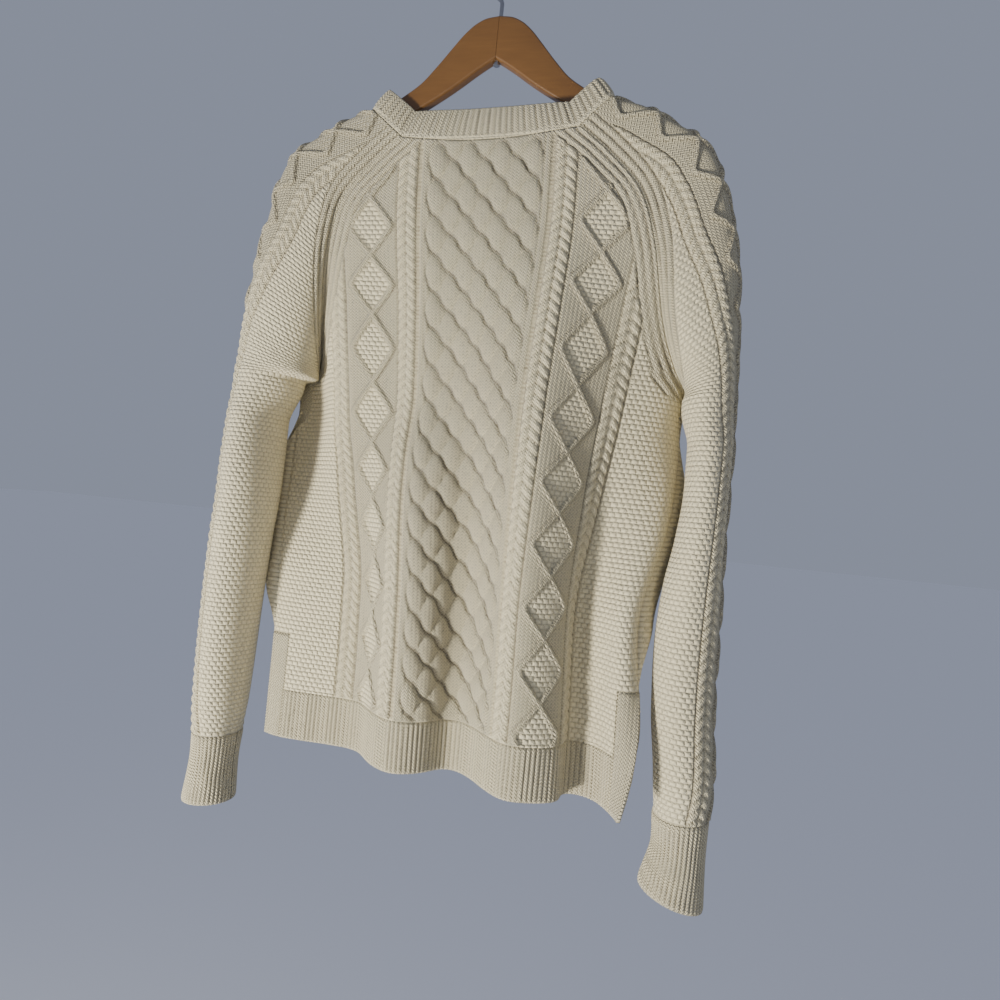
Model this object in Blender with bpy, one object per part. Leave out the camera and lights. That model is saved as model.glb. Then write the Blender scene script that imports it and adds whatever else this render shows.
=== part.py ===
"""A cable knit crew neck pullover on a wooden hanger, at rest.

Metres, +Z up, the origin at the inside top of the hook. The garment's back faces -Y.
Each piece that a maker would cut and sew is a closed wall of cloth, and neighbouring
pieces stand a seam gap apart. Every surface is a formula over short tables of sizes.
"""

import bpy
import numpy as np

# Cloth.
WALL = 0.0030
SEAM_GAP = 0.0003
ARMPIT_GAP = 0.0006
NECK_GAP = 0.0006

# Heights of the body, down from the middle of the back neck seam.
NECK_SEAM_Z = -0.197
BODY_LENGTH = 0.611
RIB_HEIGHT = 0.048
VENT_HEIGHT = 0.105
VENT_FREE = 0.85
VENT_BEHIND = 0.014
VENT_EASE = 0.400
FRONT_DROP = 0.066
FRONT_LONGER = 0.006
NECK_V = -0.007

# Half widths of the knitted bands across the back, from the middle to the side seam.
SIDE_U = 0.258
ARMPIT_V = 0.238

# The neckband.
NECKBAND_HEIGHT = 0.033
NECKBAND_SIDE_LESS = 0.012
NECKBAND_SIDE_U = 0.125
NECKBAND_LEAN_X = 0.87
NECKBAND_LEAN_Y = 0.80

# The hanger.
WOOD_THICKNESS = 0.012
WOOD_ROUND = 0.0028
JOINT_GAP = 0.0003
WIRE_RADIUS = 0.0020
BORE_RADIUS = 0.0023
HOOK_INSIDE = 0.021
HOOK_STEM_Z = -0.052
HOOK_OPEN_END = -38.0
RIVET_RADIUS = 0.0034

# How the hanging back tilts across its width, in degrees: plus comes forward from left to
# right. A row per height below the neck seam, a column per place across.
TILT_AT = (-0.250, -0.225, -0.195, -0.162, -0.120, -0.078, -0.050, -0.017, 0.017, 0.050,
           0.078, 0.110, 0.138, 0.162, 0.185, 0.220, 0.250)
TILT = (
    # height, then one tilt per place
    (0.000,   10,   10,  10,   5,   0,   5,   0,   3,   5,   6,   0,  -3,  -5,  -5,  -5, -10, -10),
    (0.060,   40,   40,  30,  10,   0,   5,   0,   5,   5,   8,   2,  -5,  -5,  -5, -10, -20, -20),
    (0.170,   20,   30,  48,  18,  -5,  15,   0,  15,  20,  22,   0, -25, -25, -15, -20, -40, -60),
    (0.250,    0,   38,  52,  20,   0,  20,   0,  18,  30,  30,   5, -32, -35, -25, -20, -50, -75),
    (0.330,    5,   30,  34,  10,  30,  30,   0, -20,  35,  38,  20, -38, -48, -50,   0, -15, -80),
    (0.450,   15,    5,   0,   5,  50,  30, -15, -55,  30,  45,  38, -30, -55, -85,  20,  48, -75),
    (0.611,   25,    0,  -5,   0,  50,  28, -30, -58,  32,  48,  40, -15, -38, -90,   0,  56,  65),
)

# The middle of the back: how far forward it hangs, how far aside, how far the cloth draws
# in; and the front: how far behind the hanger's plane it hangs, how deep it folds and how
# far each side of it bulges past the seam.
MIDDLE = {
    "columns": ("forward", "aside", "draw", "front", "front_fold", "left", "right"),
    "rows": (
        (0.000, 0.018, 0.003, 1.00, 0.022, 0.000, 0.000, 0.000),
        (0.060, 0.020, 0.006, 1.00, 0.030, 0.002, 0.000, 0.000),
        (0.170, 0.018, 0.010, 0.97, 0.050, 0.003, 0.000, 0.000),
        (0.250, 0.016, 0.012, 0.95, 0.066, 0.004, 0.000, 0.000),
        (0.330, 0.016, 0.015, 0.94, 0.072, 0.006, 0.036, 0.022),
        (0.450, 0.010, 0.017, 0.92, 0.066, 0.009, 0.034, 0.024),
        (0.520, 0.008, 0.019, 0.92, 0.062, 0.011, 0.000, 0.000),
        (0.611, 0.006, 0.020, 0.92, 0.058, 0.013, 0.000, 0.000),
    ),
}
FRONT_FOLD_WIDTH = 0.118
FRONT_FOLD_AT = 0.030
BULGE_MOST = 0.286

# The raglan seam on the flat cloth, from the neck to the armpit, and how far apart the
# back's and the front's hang there.
RAGLAN = {
    "columns": ("down", "out", "apart"),
    "rows": (
        (0.000, -0.007, 0.091, 0.031),
        (0.116, 0.017, 0.118, 0.033),
        (0.274, 0.054, 0.150, 0.036),
        (0.429, 0.099, 0.167, 0.038),
        (0.580, 0.144, 0.182, 0.040),
        (0.732, 0.187, 0.200, 0.038),
        (0.830, 0.214, 0.220, 0.030),
        (0.920, 0.227, 0.239, 0.018),
        (1.000, 0.238, 0.258, 0.000),
    ),
}

# The sleeve's outer fold from the neck to the armpit: its place, the depth of its middle
# behind the hanger's plane, its half depth and how square its section is.
SHOULDER = {
    "columns": ("left", "right", "down", "behind", "half_depth", "square"),
    "rows": (
        (0.00, 0.125, 0.125, -0.159, 0.000, 0.0165, 0.50),
        (0.08, 0.146, 0.150, -0.165, 0.000, 0.0170, 0.50),
        (0.17, 0.173, 0.178, -0.180, 0.000, 0.0180, 0.50),
        (0.26, 0.198, 0.204, -0.195, 0.000, 0.0200, 0.52),
        (0.34, 0.215, 0.221, -0.215, 0.000, 0.0230, 0.56),
        (0.42, 0.225, 0.232, -0.240, 0.002, 0.0260, 0.62),
        (0.50, 0.232, 0.240, -0.267, 0.004, 0.0290, 0.70),
        (0.64, 0.243, 0.250, -0.312, 0.009, 0.0340, 0.80),
        (0.81, 0.255, 0.255, -0.370, 0.015, 0.0390, 0.90),
        (1.00, 0.260, 0.258, -0.432, 0.018, 0.0420, 1.00),
    ),
}

# The sleeve below the armpit, a row per height: the middle of its section, half width,
# depth of the middle behind the hanger's plane and half depth. It ends at the cuff's hem.
SLEEVE_LEFT = {
    "columns": ("middle", "half_width", "behind", "half_depth"),
    "rows": (
        (0.435, 0.2310, 0.0290, 0.018, 0.0420),
        (0.475, 0.2310, 0.0275, 0.014, 0.0425),
        (0.520, 0.2290, 0.0280, 0.008, 0.0430),
        (0.565, 0.2275, 0.0285, 0.003, 0.0410),
        (0.610, 0.2290, 0.0285, 0.000, 0.0390),
        (0.660, 0.2310, 0.0280, 0.000, 0.0380),
        (0.720, 0.2325, 0.0270, 0.000, 0.0370),
        (0.780, 0.2335, 0.0255, 0.000, 0.0340),
        (0.811, 0.2345, 0.0230, 0.000, 0.0300),
        (0.840, 0.2355, 0.0225, 0.000, 0.0270),
        (0.892, 0.2375, 0.0260, 0.000, 0.0280),
    ),
}
SLEEVE_RIGHT = {
    "columns": ("middle", "half_width", "behind", "half_depth"),
    "rows": (
        (0.435, 0.2330, 0.0250, 0.018, 0.0420),
        (0.475, 0.2380, 0.0215, 0.012, 0.0420),
        (0.520, 0.2380, 0.0210, 0.006, 0.0410),
        (0.565, 0.2360, 0.0230, 0.002, 0.0400),
        (0.610, 0.2330, 0.0270, 0.000, 0.0380),
        (0.660, 0.2320, 0.0290, 0.000, 0.0360),
        (0.720, 0.2340, 0.0285, 0.000, 0.0360),
        (0.780, 0.2400, 0.0275, 0.000, 0.0340),
        (0.811, 0.2410, 0.0250, 0.000, 0.0310),
        (0.840, 0.2415, 0.0240, 0.000, 0.0280),
        (0.892, 0.2380, 0.0295, 0.000, 0.0290),
    ),
}
SLEEVE_START = 0.435
CUFF_START = 0.811
SLEEVE_END = 0.892
CUFF_RISE = {-1: 0.002, 1: 0.016}
CUFF_LIFT = {-1: 0.009, 1: 0.0}

# The hanger's outline, a row per place out from the middle: its top and bottom.
WOOD = {
    "columns": ("top", "bottom"),
    "rows": (
        (0.000, -0.0660, -0.1090),
        (0.012, -0.0675, -0.1165),
        (0.023, -0.0725, -0.1240),
        (0.034, -0.0820, -0.1320),
        (0.045, -0.0950, -0.1395),
        (0.060, -0.1135, -0.1490),
        (0.076, -0.1310, -0.1585),
        (0.092, -0.1425, -0.1680),
        (0.110, -0.1541, -0.1780),
        (0.130, -0.1667, -0.1885),
        (0.155, -0.1785, -0.1995),
        (0.180, -0.1915, -0.2100),
        (0.196, -0.2040, -0.2180),
        (0.202, -0.2105, -0.2195),
        (0.206, -0.2150, -0.2190),
    ),
}

# Where the cloth's facets lie, as shares or as metres of cloth.
RAGLAN_ROWS = (0.0, 0.13, 0.26, 0.38, 0.50, 0.62, 0.73, 0.83, 0.92, 1.0)
BODY_ROWS = (0.272, 0.306, 0.340, 0.375, 0.410, 0.445, 0.478, 0.506, 0.534, 0.563)
BACK_COLUMNS = (-0.258, -0.234, -0.215, -0.195, -0.176, -0.158, -0.135, -0.112, -0.091, -0.074,
                -0.056, -0.036, -0.017, 0.0, 0.017, 0.036, 0.056, 0.074, 0.091, 0.112, 0.130,
                0.145, 0.157, 0.168, 0.179, 0.192, 0.212, 0.234, 0.258)
FRONT_COLUMNS = (-0.258, -0.234, -0.205, -0.172, -0.136, -0.100, -0.066, -0.033, 0.0, 0.033,
                 0.066, 0.100, 0.136, 0.172, 0.205, 0.234, 0.258)
SLEEVE_SIDES = 9
SLEEVE_ROWS = (0.455, 0.480, 0.510, 0.540, 0.575, 0.610, 0.650, 0.690, 0.730, 0.772, 0.811)
CUFF_ROWS = (0.811, 0.838, 0.865, 0.892)
SECTION_STEPS = 517
SECTION_ROWS = 124
ARC_STEPS = 181

COLOURS = {
    "cloth": (0.66, 0.60, 0.46, 1.0),
    "wood": (0.30, 0.14, 0.045, 1.0),
    "steel": (0.45, 0.46, 0.47, 1.0),
}


def cubic(x, y, at):
    """Monotone cubic through the points (x, y), level beyond the ends; y may have columns."""
    x, y = np.asarray(x, float), np.asarray(y, float)
    flat = y.ndim == 1
    y = y[:, None] if flat else y
    at = np.asarray(at, float)
    shape, at = at.shape, np.clip(at.ravel(), x[0], x[-1])
    width = np.diff(x)[:, None]
    step = np.diff(y, axis=0) / width
    slope = np.zeros_like(y)
    turn, total = step[:-1] * step[1:], step[:-1] + step[1:]
    slope[1:-1] = np.where(turn > 0, 2 * turn / np.where(turn > 0, total, 1), 0)
    slope[0], slope[-1] = step[0], step[-1]
    i = np.clip(np.searchsorted(x, at, side="right") - 1, 0, len(x) - 2)
    t = ((at - x[i]) / width[i, 0])[:, None]
    found = ((1 + 2 * t) * (1 - t) ** 2 * y[i] + t * (1 - t) ** 2 * width[i] * slope[i]
             + t * t * (3 - 2 * t) * y[i + 1] + t * t * (t - 1) * width[i] * slope[i + 1])
    return found[:, 0].reshape(shape) if flat else found.reshape(shape + (y.shape[1],))


def read(table, column, at):
    """One column of a table at a position."""
    rows = np.array(table["rows"], float)
    return cubic(rows[:, 0], rows[:, 1 + table["columns"].index(column)], at)


def unit(vectors):
    """Vectors made one long."""
    return vectors / np.maximum(np.linalg.norm(vectors, axis=-1, keepdims=True), 1e-12)


def eased(t):
    """0..1 with level ends."""
    t = np.clip(t, 0.0, 1.0)
    return t * t * (3 - 2 * t)


class Back:
    """The back's outside: the tilts added up across the cloth from its middle."""

    def __init__(self):
        self.u = np.linspace(-SIDE_U, SIDE_U, SECTION_STEPS)
        self.v = np.linspace(0.0, BODY_LENGTH, SECTION_ROWS)
        heights = np.array([row[0] for row in TILT])
        angles = np.radians(np.array([row[1:] for row in TILT], float))
        across = cubic(TILT_AT, angles.T, self.u).T
        tilts = cubic(heights, across, self.v)
        draw = read(MIDDLE, "draw", self.v)[:, None]
        step = (self.u[1] - self.u[0]) * draw
        self.x = self.added(np.cos(tilts), step) + read(MIDDLE, "aside", self.v)[:, None]
        self.forward = self.added(np.sin(tilts), step) + read(MIDDLE, "forward", self.v)[:, None]

    @staticmethod
    def added(rate, step):
        """The running sum of a rate along each row, nought in the middle."""
        mean = (rate[:, 1:] + rate[:, :-1]) / 2 * step
        total = np.concatenate([np.zeros((len(rate), 1)), np.cumsum(mean, axis=1)], axis=1)
        return total - total[:, [SECTION_STEPS // 2]]

    def looked_up(self, grid, u, v):
        """The value of a dense grid at (u, v), bilinear."""
        column = np.clip((u - self.u[0]) / (self.u[1] - self.u[0]), 0, len(self.u) - 1.001)
        row = np.clip((v - self.v[0]) / (self.v[1] - self.v[0]), 0, len(self.v) - 1.001)
        j, i = column.astype(int), row.astype(int)
        s, t = column - j, row - i
        return ((grid[i, j] * (1 - s) + grid[i, j + 1] * s) * (1 - t)
                + (grid[i + 1, j] * (1 - s) + grid[i + 1, j + 1] * s) * t)

    def points(self, u, v):
        """Points at (u across, v down) of the cloth."""
        u, v = np.broadcast_arrays(np.asarray(u, float), np.asarray(v, float))
        return np.stack([self.looked_up(self.x, u, v), -self.looked_up(self.forward, u, v),
                         NECK_SEAM_Z - v], axis=-1)


class Front:
    """The front's outside, between the back's own edges, folded on its own."""

    def __init__(self, back):
        self.back = back

    def edge(self, side, v):
        """The seam that the front shares with the back's edge, or with the sleeve."""
        out = np.where(v < ARMPIT_V, raglan_out(v), SIDE_U)
        place, other = self.back.points(side * out, v), self.back.points(-side * out, v)
        level = (place[..., 1] + other[..., 1]) / 2
        alike = 1 - eased((v - NECK_V) / (ARMPIT_V - NECK_V) * 1.6)
        rows = np.array(RAGLAN["rows"], float)
        shared = place[..., 1] * (1 - alike) + level * alike + cubic(rows[:, 1], rows[:, 3], v)
        hanging = read(MIDDLE, "front", v) - VENT_BEHIND
        return place[..., 0], shared + (hanging - shared) * VENT_FREE * vent_share(v)

    def points(self, u, v):
        """Points at (u across, v down) of the cloth."""
        u, v = np.broadcast_arrays(np.asarray(u, float), np.asarray(v, float))
        share = np.clip(u / np.where(v < ARMPIT_V, raglan_out(v), SIDE_U), -1, 1)
        (left, left_y), (right, right_y) = self.edge(-1, v), self.edge(1, v)
        side = np.abs(share) ** 4 * np.sqrt(1 - share ** 2) / BULGE_MOST
        out = np.where(share < 0, -read(MIDDLE, "left", v), read(MIDDLE, "right", v))
        x = (left + right) / 2 + share * (right - left) / 2 + out * side
        edge_y = left_y * (1 - share) / 2 + right_y * (1 + share) / 2
        wave = np.cos(2 * np.pi * (x - FRONT_FOLD_AT) / FRONT_FOLD_WIDTH)
        middle_y = read(MIDDLE, "front", v) - read(MIDDLE, "front_fold", v) * wave
        full = np.clip(1 - share ** 6, 0, 1) ** (0.5 + 0.8 * eased((v - VENT_EASE) / VENT_HEIGHT))
        longer = FRONT_LONGER * eased((v - ARMPIT_V) / (BODY_LENGTH - ARMPIT_V))
        return np.stack([x, edge_y * (1 - full) + middle_y * full,
                         NECK_SEAM_Z - v - longer * full], axis=-1)


def raglan_out(v):
    """How far out the raglan seam is at a height of the cloth."""
    rows = np.array(RAGLAN["rows"], float)
    return cubic(rows[:, 1], rows[:, 2], v)


def vent_share(v):
    """0 above the side vents to 1 at the hem."""
    return eased((v - BODY_LENGTH + VENT_HEIGHT) / VENT_HEIGHT)


def power(value, square):
    """A signed power, for a section between a box and an ellipse."""
    return np.sign(value) * np.abs(value) ** square


class Sleeve:
    """A sleeve's outside, from the neck seam over the shoulder to the cuff's hem."""

    def __init__(self, side, back, front):
        self.side, self.back, self.front = side, back, front
        self.table = SLEEVE_LEFT if side < 0 else SLEEVE_RIGHT
        self.out = "left" if side < 0 else "right"

    def half(self, ridge, edge, behind, depth, square, sign, shares):
        """One half of a section, from the outer fold to the seam, even along its arc."""
        reach = sign * (edge[1] - behind) / depth
        reach = np.sign(reach) * min(abs(reach), 0.97) ** (1 / square)
        last = np.pi - np.arcsin(reach)
        depth_to_meet = sign * (edge[1] - behind) / power(np.sin(last), square)
        arm = (ridge - edge[[0, 2]]) / (1 - power(np.cos(last), square))
        angle = np.linspace(0, 1, ARC_STEPS) ** 1.5 * last
        flat = ridge + (power(np.cos(angle), square) - 1)[:, None] * arm
        y = behind + sign * depth_to_meet * power(np.sin(angle), square)
        return self.spaced(np.stack([flat[:, 0], y, flat[:, 1]], axis=-1), shares)

    @staticmethod
    def spaced(curve, shares):
        """The points at shares of a curve's length."""
        length = np.concatenate([[0], np.cumsum(np.linalg.norm(np.diff(curve, axis=0), axis=1))])
        at = np.asarray(shares) * length[-1]
        return np.stack([np.interp(at, length, curve[:, k]) for k in range(3)], axis=-1)

    def upper(self, part, shares):
        """A section above the armpit: -1 is the back seam, 0 the outer fold, 1 the front."""
        v = float(read(RAGLAN, "down", part))
        u = self.side * float(read(RAGLAN, "out", part))
        ridge = np.array([self.side * float(read(SHOULDER, self.out, part)),
                          float(read(SHOULDER, "down", part))])
        behind, depth = float(read(SHOULDER, "behind", part)), float(read(SHOULDER, "half_depth", part))
        square = float(read(SHOULDER, "square", part))
        shares = np.asarray(shares, float)
        found = np.zeros((len(shares), 3))
        for form, sign in ((self.back, -1), (self.front, 1)):
            edge = form.points(np.array(u), np.array(v))
            here = shares * sign > 0
            half_depth = max(depth, abs(edge[1] - behind) * 1.03)
            found[here] = self.half(ridge, edge, behind, half_depth, square, sign, np.abs(shares[here]))
        found[shares == 0] = (ridge[0], behind, ridge[1])
        return found

    def lower(self, height, shares):
        """A section below the armpit, closed."""
        first = self.upper(1.0, shares)
        middle, width, behind, depth = (float(read(self.table, name, height))
                                        for name in self.table["columns"])
        start = (first[np.argmin(shares), 1] - self.table["rows"][0][3]) / self.table["rows"][0][4]
        ease = 1 - eased((height - SLEEVE_START) / 0.20)
        seam = np.pi + np.arcsin(np.clip(start, -0.97, 0.97)) * ease
        angle = np.where(shares < 0, -shares * seam, -shares * (2 * np.pi - seam))
        lift = CUFF_RISE[self.side] * (1 - np.cos(angle)) / 2 + CUFF_LIFT[self.side]
        lift *= eased((height - CUFF_START) / (SLEEVE_END - CUFF_START))
        ring = np.stack([self.side * (middle + width * np.cos(angle)), behind - depth * np.sin(angle),
                         -height + lift], axis=-1)
        blend = eased((height - SLEEVE_START) / 0.045)
        joined = first + (0, 0, SLEEVE_START - height)
        return ring * blend + joined * (1 - blend)


class Wall:
    """A sheet of cloth as a grid, thickened inwards and closed round its edges."""

    def __init__(self, outer, normals, cells=None, closed=False, open_rows=None):
        self.outer, self.inner = outer, outer - normals * WALL
        self.rows, self.columns = outer.shape[:2]
        self.closed, self.open_rows = closed, open_rows
        across = self.columns if closed else self.columns - 1
        self.cells = np.ones((self.rows - 1, across), bool) if cells is None else cells

    def index(self, i, j):
        """The number of a grid point; the columns of a tube close on themselves."""
        if self.closed:
            return i * self.columns + j % self.columns
        if self.open_rows is not None and i >= self.open_rows and j == self.columns - 1:
            j = 0
        return i * self.columns + j

    def has(self, i, j):
        """Whether a cell is there."""
        across = self.cells.shape[1]
        wraps = self.closed or (self.open_rows is not None and i >= self.open_rows)
        if wraps:
            j %= across
        return 0 <= i < self.cells.shape[0] and 0 <= j < across and self.cells[i, j]

    def faces(self):
        """The outer and inner cells and the rim between them."""
        back = self.rows * self.columns
        found = []
        for i, j in zip(*np.nonzero(self.cells)):
            a, b = self.index(i, j), self.index(i, j + 1)
            c, d = self.index(i + 1, j + 1), self.index(i + 1, j)
            found += [(a, d, c, b), (a + back, b + back, c + back, d + back)]
            for there, (p, q) in (((i - 1, j), (a, b)), ((i, j + 1), (b, c)),
                                  ((i + 1, j), (c, d)), ((i, j - 1), (d, a))):
                if not self.has(*there):
                    found.append((p, q, q + back, p + back) if p < q
                                 else (q, q + back, p + back, p))
        return found

    def build(self, name, material):
        """The mesh object, with the points that no face uses left out."""
        points = np.concatenate([self.outer.reshape(-1, 3), self.inner.reshape(-1, 3)])
        return build_mesh(name, points, self.faces(), material)


def build_mesh(name, points, faces, material):
    """A mesh object facing outwards."""
    used = sorted({k for face in faces for k in face})
    place = {k: n for n, k in enumerate(used)}
    triangles = []
    for face in faces:
        face = [place[k] for k in face]
        triangles += [(face[0], face[k], face[k + 1]) for k in range(1, len(face) - 1)]
    points = np.asarray(points, float)[used]
    corners = points[np.array(triangles)]
    volume = np.einsum("ij,ij->i", corners[:, 0], np.cross(corners[:, 1], corners[:, 2])).sum()
    if volume < 0:
        triangles = [face[::-1] for face in triangles]
    mesh = bpy.data.meshes.new(name)
    mesh.from_pydata(points.tolist(), [], triangles)
    mesh.materials.append(material)
    obj = bpy.data.objects.new(name, mesh)
    bpy.context.scene.collection.objects.link(obj)
    return obj


def make_material(name, kind, roughness, metallic=0.0):
    """A plain Principled material."""
    material = bpy.data.materials.new(name)
    material.use_nodes = True
    shader = material.node_tree.nodes["Principled BSDF"]
    shader.inputs["Base Color"].default_value = COLOURS[kind]
    shader.inputs["Roughness"].default_value = roughness
    shader.inputs["Metallic"].default_value = metallic
    material.diffuse_color = COLOURS[kind]
    return material


def grid_normals(points, closed=False):
    """The grid's normals from its neighbours, one way throughout."""
    if closed:
        across = np.roll(points, -1, axis=1) - np.roll(points, 1, axis=1)
    else:
        across = np.gradient(points, axis=1)
    return unit(np.cross(across, np.gradient(points, axis=0)))


def apart(seam, normals, inwards, gap=SEAM_GAP):
    """A seam's points moved by the gap across its end faces, towards its own piece."""
    away = np.cross(np.gradient(seam, axis=0), normals)
    away *= np.sign(np.einsum("ij,ij->i", away, inwards))[:, None]
    return seam + unit(away) * gap


class Garment:
    """The shared grids of the garment, and the pieces made from them."""

    def __init__(self):
        self.back = Back()
        self.front = Front(self.back)
        self.sleeves = {side: Sleeve(side, self.back, self.front) for side in (-1, 1)}
        self.raglan_v = read(RAGLAN, "down", np.array(RAGLAN_ROWS))
        self.panels = {}
        self.sleeve_grids = {}
        for facing, columns in ((-1, BACK_COLUMNS), (1, FRONT_COLUMNS)):
            self.panels[facing] = self.panel_grid(facing, np.array(columns))
        for side in (-1, 1):
            self.sleeve_grids[side] = self.sleeve_grid(side)
        self.join_raglans()

    def panel_grid(self, facing, columns):
        """A panel's points and normals: raglan rows, then level rows down to the hem."""
        share = columns / SIDE_U
        drop = FRONT_DROP if facing > 0 else 0.0
        top = (drop - NECK_V) * (1 - np.abs(share) ** 2.2) + NECK_V
        rows_v = np.concatenate([self.raglan_v, BODY_ROWS, [BODY_LENGTH]])
        fade = np.clip(1 - (rows_v - NECK_V) / (ARMPIT_V - NECK_V), 0, 1)
        v = rows_v[:, None] + (top - NECK_V)[None] * fade[:, None]
        limit = np.where(rows_v < ARMPIT_V, raglan_out(rows_v), SIDE_U)
        u = share[None] * limit[:, None]
        form = self.back if facing < 0 else self.front
        seam = np.abs(share) > 0.999
        points = form.points(u, v)
        step = 0.002
        across = form.points(np.minimum(u + step, limit[:, None]), v) - form.points(
            np.maximum(u - step, -limit[:, None]), v)
        down = form.points(u, v + step) - form.points(u, v - step)
        normals = unit(np.cross(across, down)) * facing
        side = (rows_v >= ARMPIT_V)[:, None] & seam[None]
        points[..., 1] += np.where(side, facing * SEAM_GAP / 2, 0)
        side &= (rows_v <= BODY_LENGTH - VENT_HEIGHT)[:, None]
        normals = np.where(side[..., None], np.sign(u)[..., None] * np.array([1.0, 0, 0]), normals)
        return {"points": points, "normals": normals, "v": rows_v, "u": columns}

    def sleeve_grid(self, side):
        """A sleeve's points and normals, an open sheet above the armpit and a tube below."""
        shares = np.concatenate([-np.linspace(1, 0, SLEEVE_SIDES + 1),
                                 np.linspace(0, 1, SLEEVE_SIDES + 1)[1:]])
        sleeve = self.sleeves[side]
        upper = [sleeve.upper(part, shares) for part in RAGLAN_ROWS]
        lower = [sleeve.lower(height, shares) for height in SLEEVE_ROWS]
        cuff = [sleeve.lower(height, shares) for height in CUFF_ROWS]
        points = np.array(upper + lower + cuff[1:])
        around = np.gradient(points, axis=1)
        tube = len(upper) - 1
        around[tube:, 0] = around[tube:, -1] = (points[tube:, 1] - points[tube:, -2]) / 2
        normals = unit(np.cross(around, np.gradient(points, axis=0))) * -side
        return {"points": points, "normals": normals, "tube": tube, "cuff": tube + len(lower)}

    def join_raglans(self):
        """Gives the pieces at each raglan seam one normal there, and the gap between them."""
        count = len(RAGLAN_ROWS)
        for side in (-1, 1):
            sleeve = self.sleeve_grids[side]
            for facing in (-1, 1):
                panel = self.panels[facing]
                column = 0 if side < 0 else len(panel["u"]) - 1
                end = 0 if facing < 0 else -1
                body = panel["normals"][:count, column]
                arm = sleeve["normals"][:count, end]
                deep = np.array(RAGLAN_ROWS)[:, None] ** 3
                shared = unit(body + arm + np.array([0, 1.0 * facing, 0]) * deep)
                shared[-1] = unit(np.array([-side, 0.3 * facing, 0]))
                sleeve["normals"][:count, end] = shared
                panel["normals"][:count - 1, column] = shared[:-1]
                seam = sleeve["points"][:count, end]
                inwards = sleeve["points"][:count, 1 if end == 0 else -2] - seam
                sleeve["points"][:count, end] = apart(seam, shared, inwards)
            tube = sleeve["tube"]
            meet = (sleeve["points"][tube, 0] + sleeve["points"][tube, -1]) / 2
            sleeve["points"][tube, [0, -1]] = meet + (side * ARMPIT_GAP, 0, 0)
            sleeve["normals"][tube, [0, -1]] = (-side, 0, 0)

    def panel_parts(self, facing):
        """A panel's walls by name: the panel, its hem rib and its two vent bands."""
        grid = self.panels[facing]
        points, normals, rows_v = grid["points"], grid["normals"], grid["v"]
        name = "back" if facing < 0 else "front"
        vent = int(np.argmin(np.abs(rows_v - (BODY_LENGTH - VENT_HEIGHT))))
        rib = int(np.argmin(np.abs(rows_v - (BODY_LENGTH - RIB_HEIGHT))))
        cells = np.ones((len(rows_v) - 1, len(grid["u"]) - 1), bool)
        cells[rib:] = False
        cells[vent:, [0, -1]] = False
        parts = {f"{name}_panel": Wall(points, normals, cells)}
        shifted = self.moved(points, normals, rib)
        parts[f"{name}_hem_rib"] = Wall(shifted[rib:, 1:-1], normals[rib:, 1:-1])
        for column, side in ((0, "left"), (-2, "right")):
            band = points[vent:, column:column + 2 or None].copy()
            band_normals = normals[vent:, column:column + 2 or None]
            inner = 1 if side == "left" else 0
            band[:, inner] = apart(band[:, inner], band_normals[:, inner],
                                   band[:, 1 - inner] - band[:, inner])
            band = self.moved(band, band_normals, 0)
            parts[f"{name}_vent_band_{side}"] = Wall(band, band_normals)
        return parts

    @staticmethod
    def moved(points, normals, row):
        """The points with one row moved by the seam gap towards the next row."""
        points = points.copy()
        along = unit(points[row + 1] - points[row])
        lean = np.einsum("ij,ij->i", along, normals[row])[:, None]
        points[row] += along * SEAM_GAP / np.sqrt(np.clip(1 - lean ** 2, 0.2, 1))
        return points

    def sleeve_parts(self, side):
        """A sleeve's wall and its cuff's."""
        grid = self.sleeve_grids[side]
        name = "left" if side < 0 else "right"
        cuff, tube = grid["cuff"], grid["tube"]
        sleeve = Wall(grid["points"][:cuff + 1], grid["normals"][:cuff + 1], open_rows=tube)
        ring = self.moved(grid["points"][cuff:], grid["normals"][cuff:], 0)[:, :-1]
        return {f"{name}_sleeve": sleeve,
                f"{name}_cuff": Wall(ring, grid["normals"][cuff:, :-1], closed=True)}

    def neckband(self):
        """The neckband's wall on the seam of all four pieces."""
        back, front = self.panels[-1], self.panels[1]
        left, right = self.sleeve_grids[-1], self.sleeve_grids[1]
        runs = ((back["points"][0], back["normals"][0]),
                (right["points"][0, 1:-1], right["normals"][0, 1:-1]),
                (front["points"][0, ::-1], front["normals"][0, ::-1]),
                (left["points"][0, -2:0:-1], left["normals"][0, -2:0:-1]))
        seam = np.concatenate([run[0] for run in runs])
        normals = np.concatenate([run[1] for run in runs])
        rise = NECKBAND_HEIGHT - NECKBAND_SIDE_LESS * np.clip(
            np.abs(seam[:, 0]) / NECKBAND_SIDE_U, 0, 1) ** 2
        top = seam * (NECKBAND_LEAN_X, NECKBAND_LEAN_Y, 1) + np.stack(
            [0 * rise, 0 * rise, rise], axis=-1)
        middle = (seam + top) / 2 + normals * 0.0012
        rows = np.array([top, middle, seam])
        rows[2] = apart(seam, normals, rows[1] - seam, NECK_GAP)
        own = grid_normals(rows, closed=True)
        own *= np.sign(np.einsum("ij,ij->i", own[1], normals))[None, :, None]
        own[2] = normals
        return Wall(rows, own, closed=True)


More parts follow.
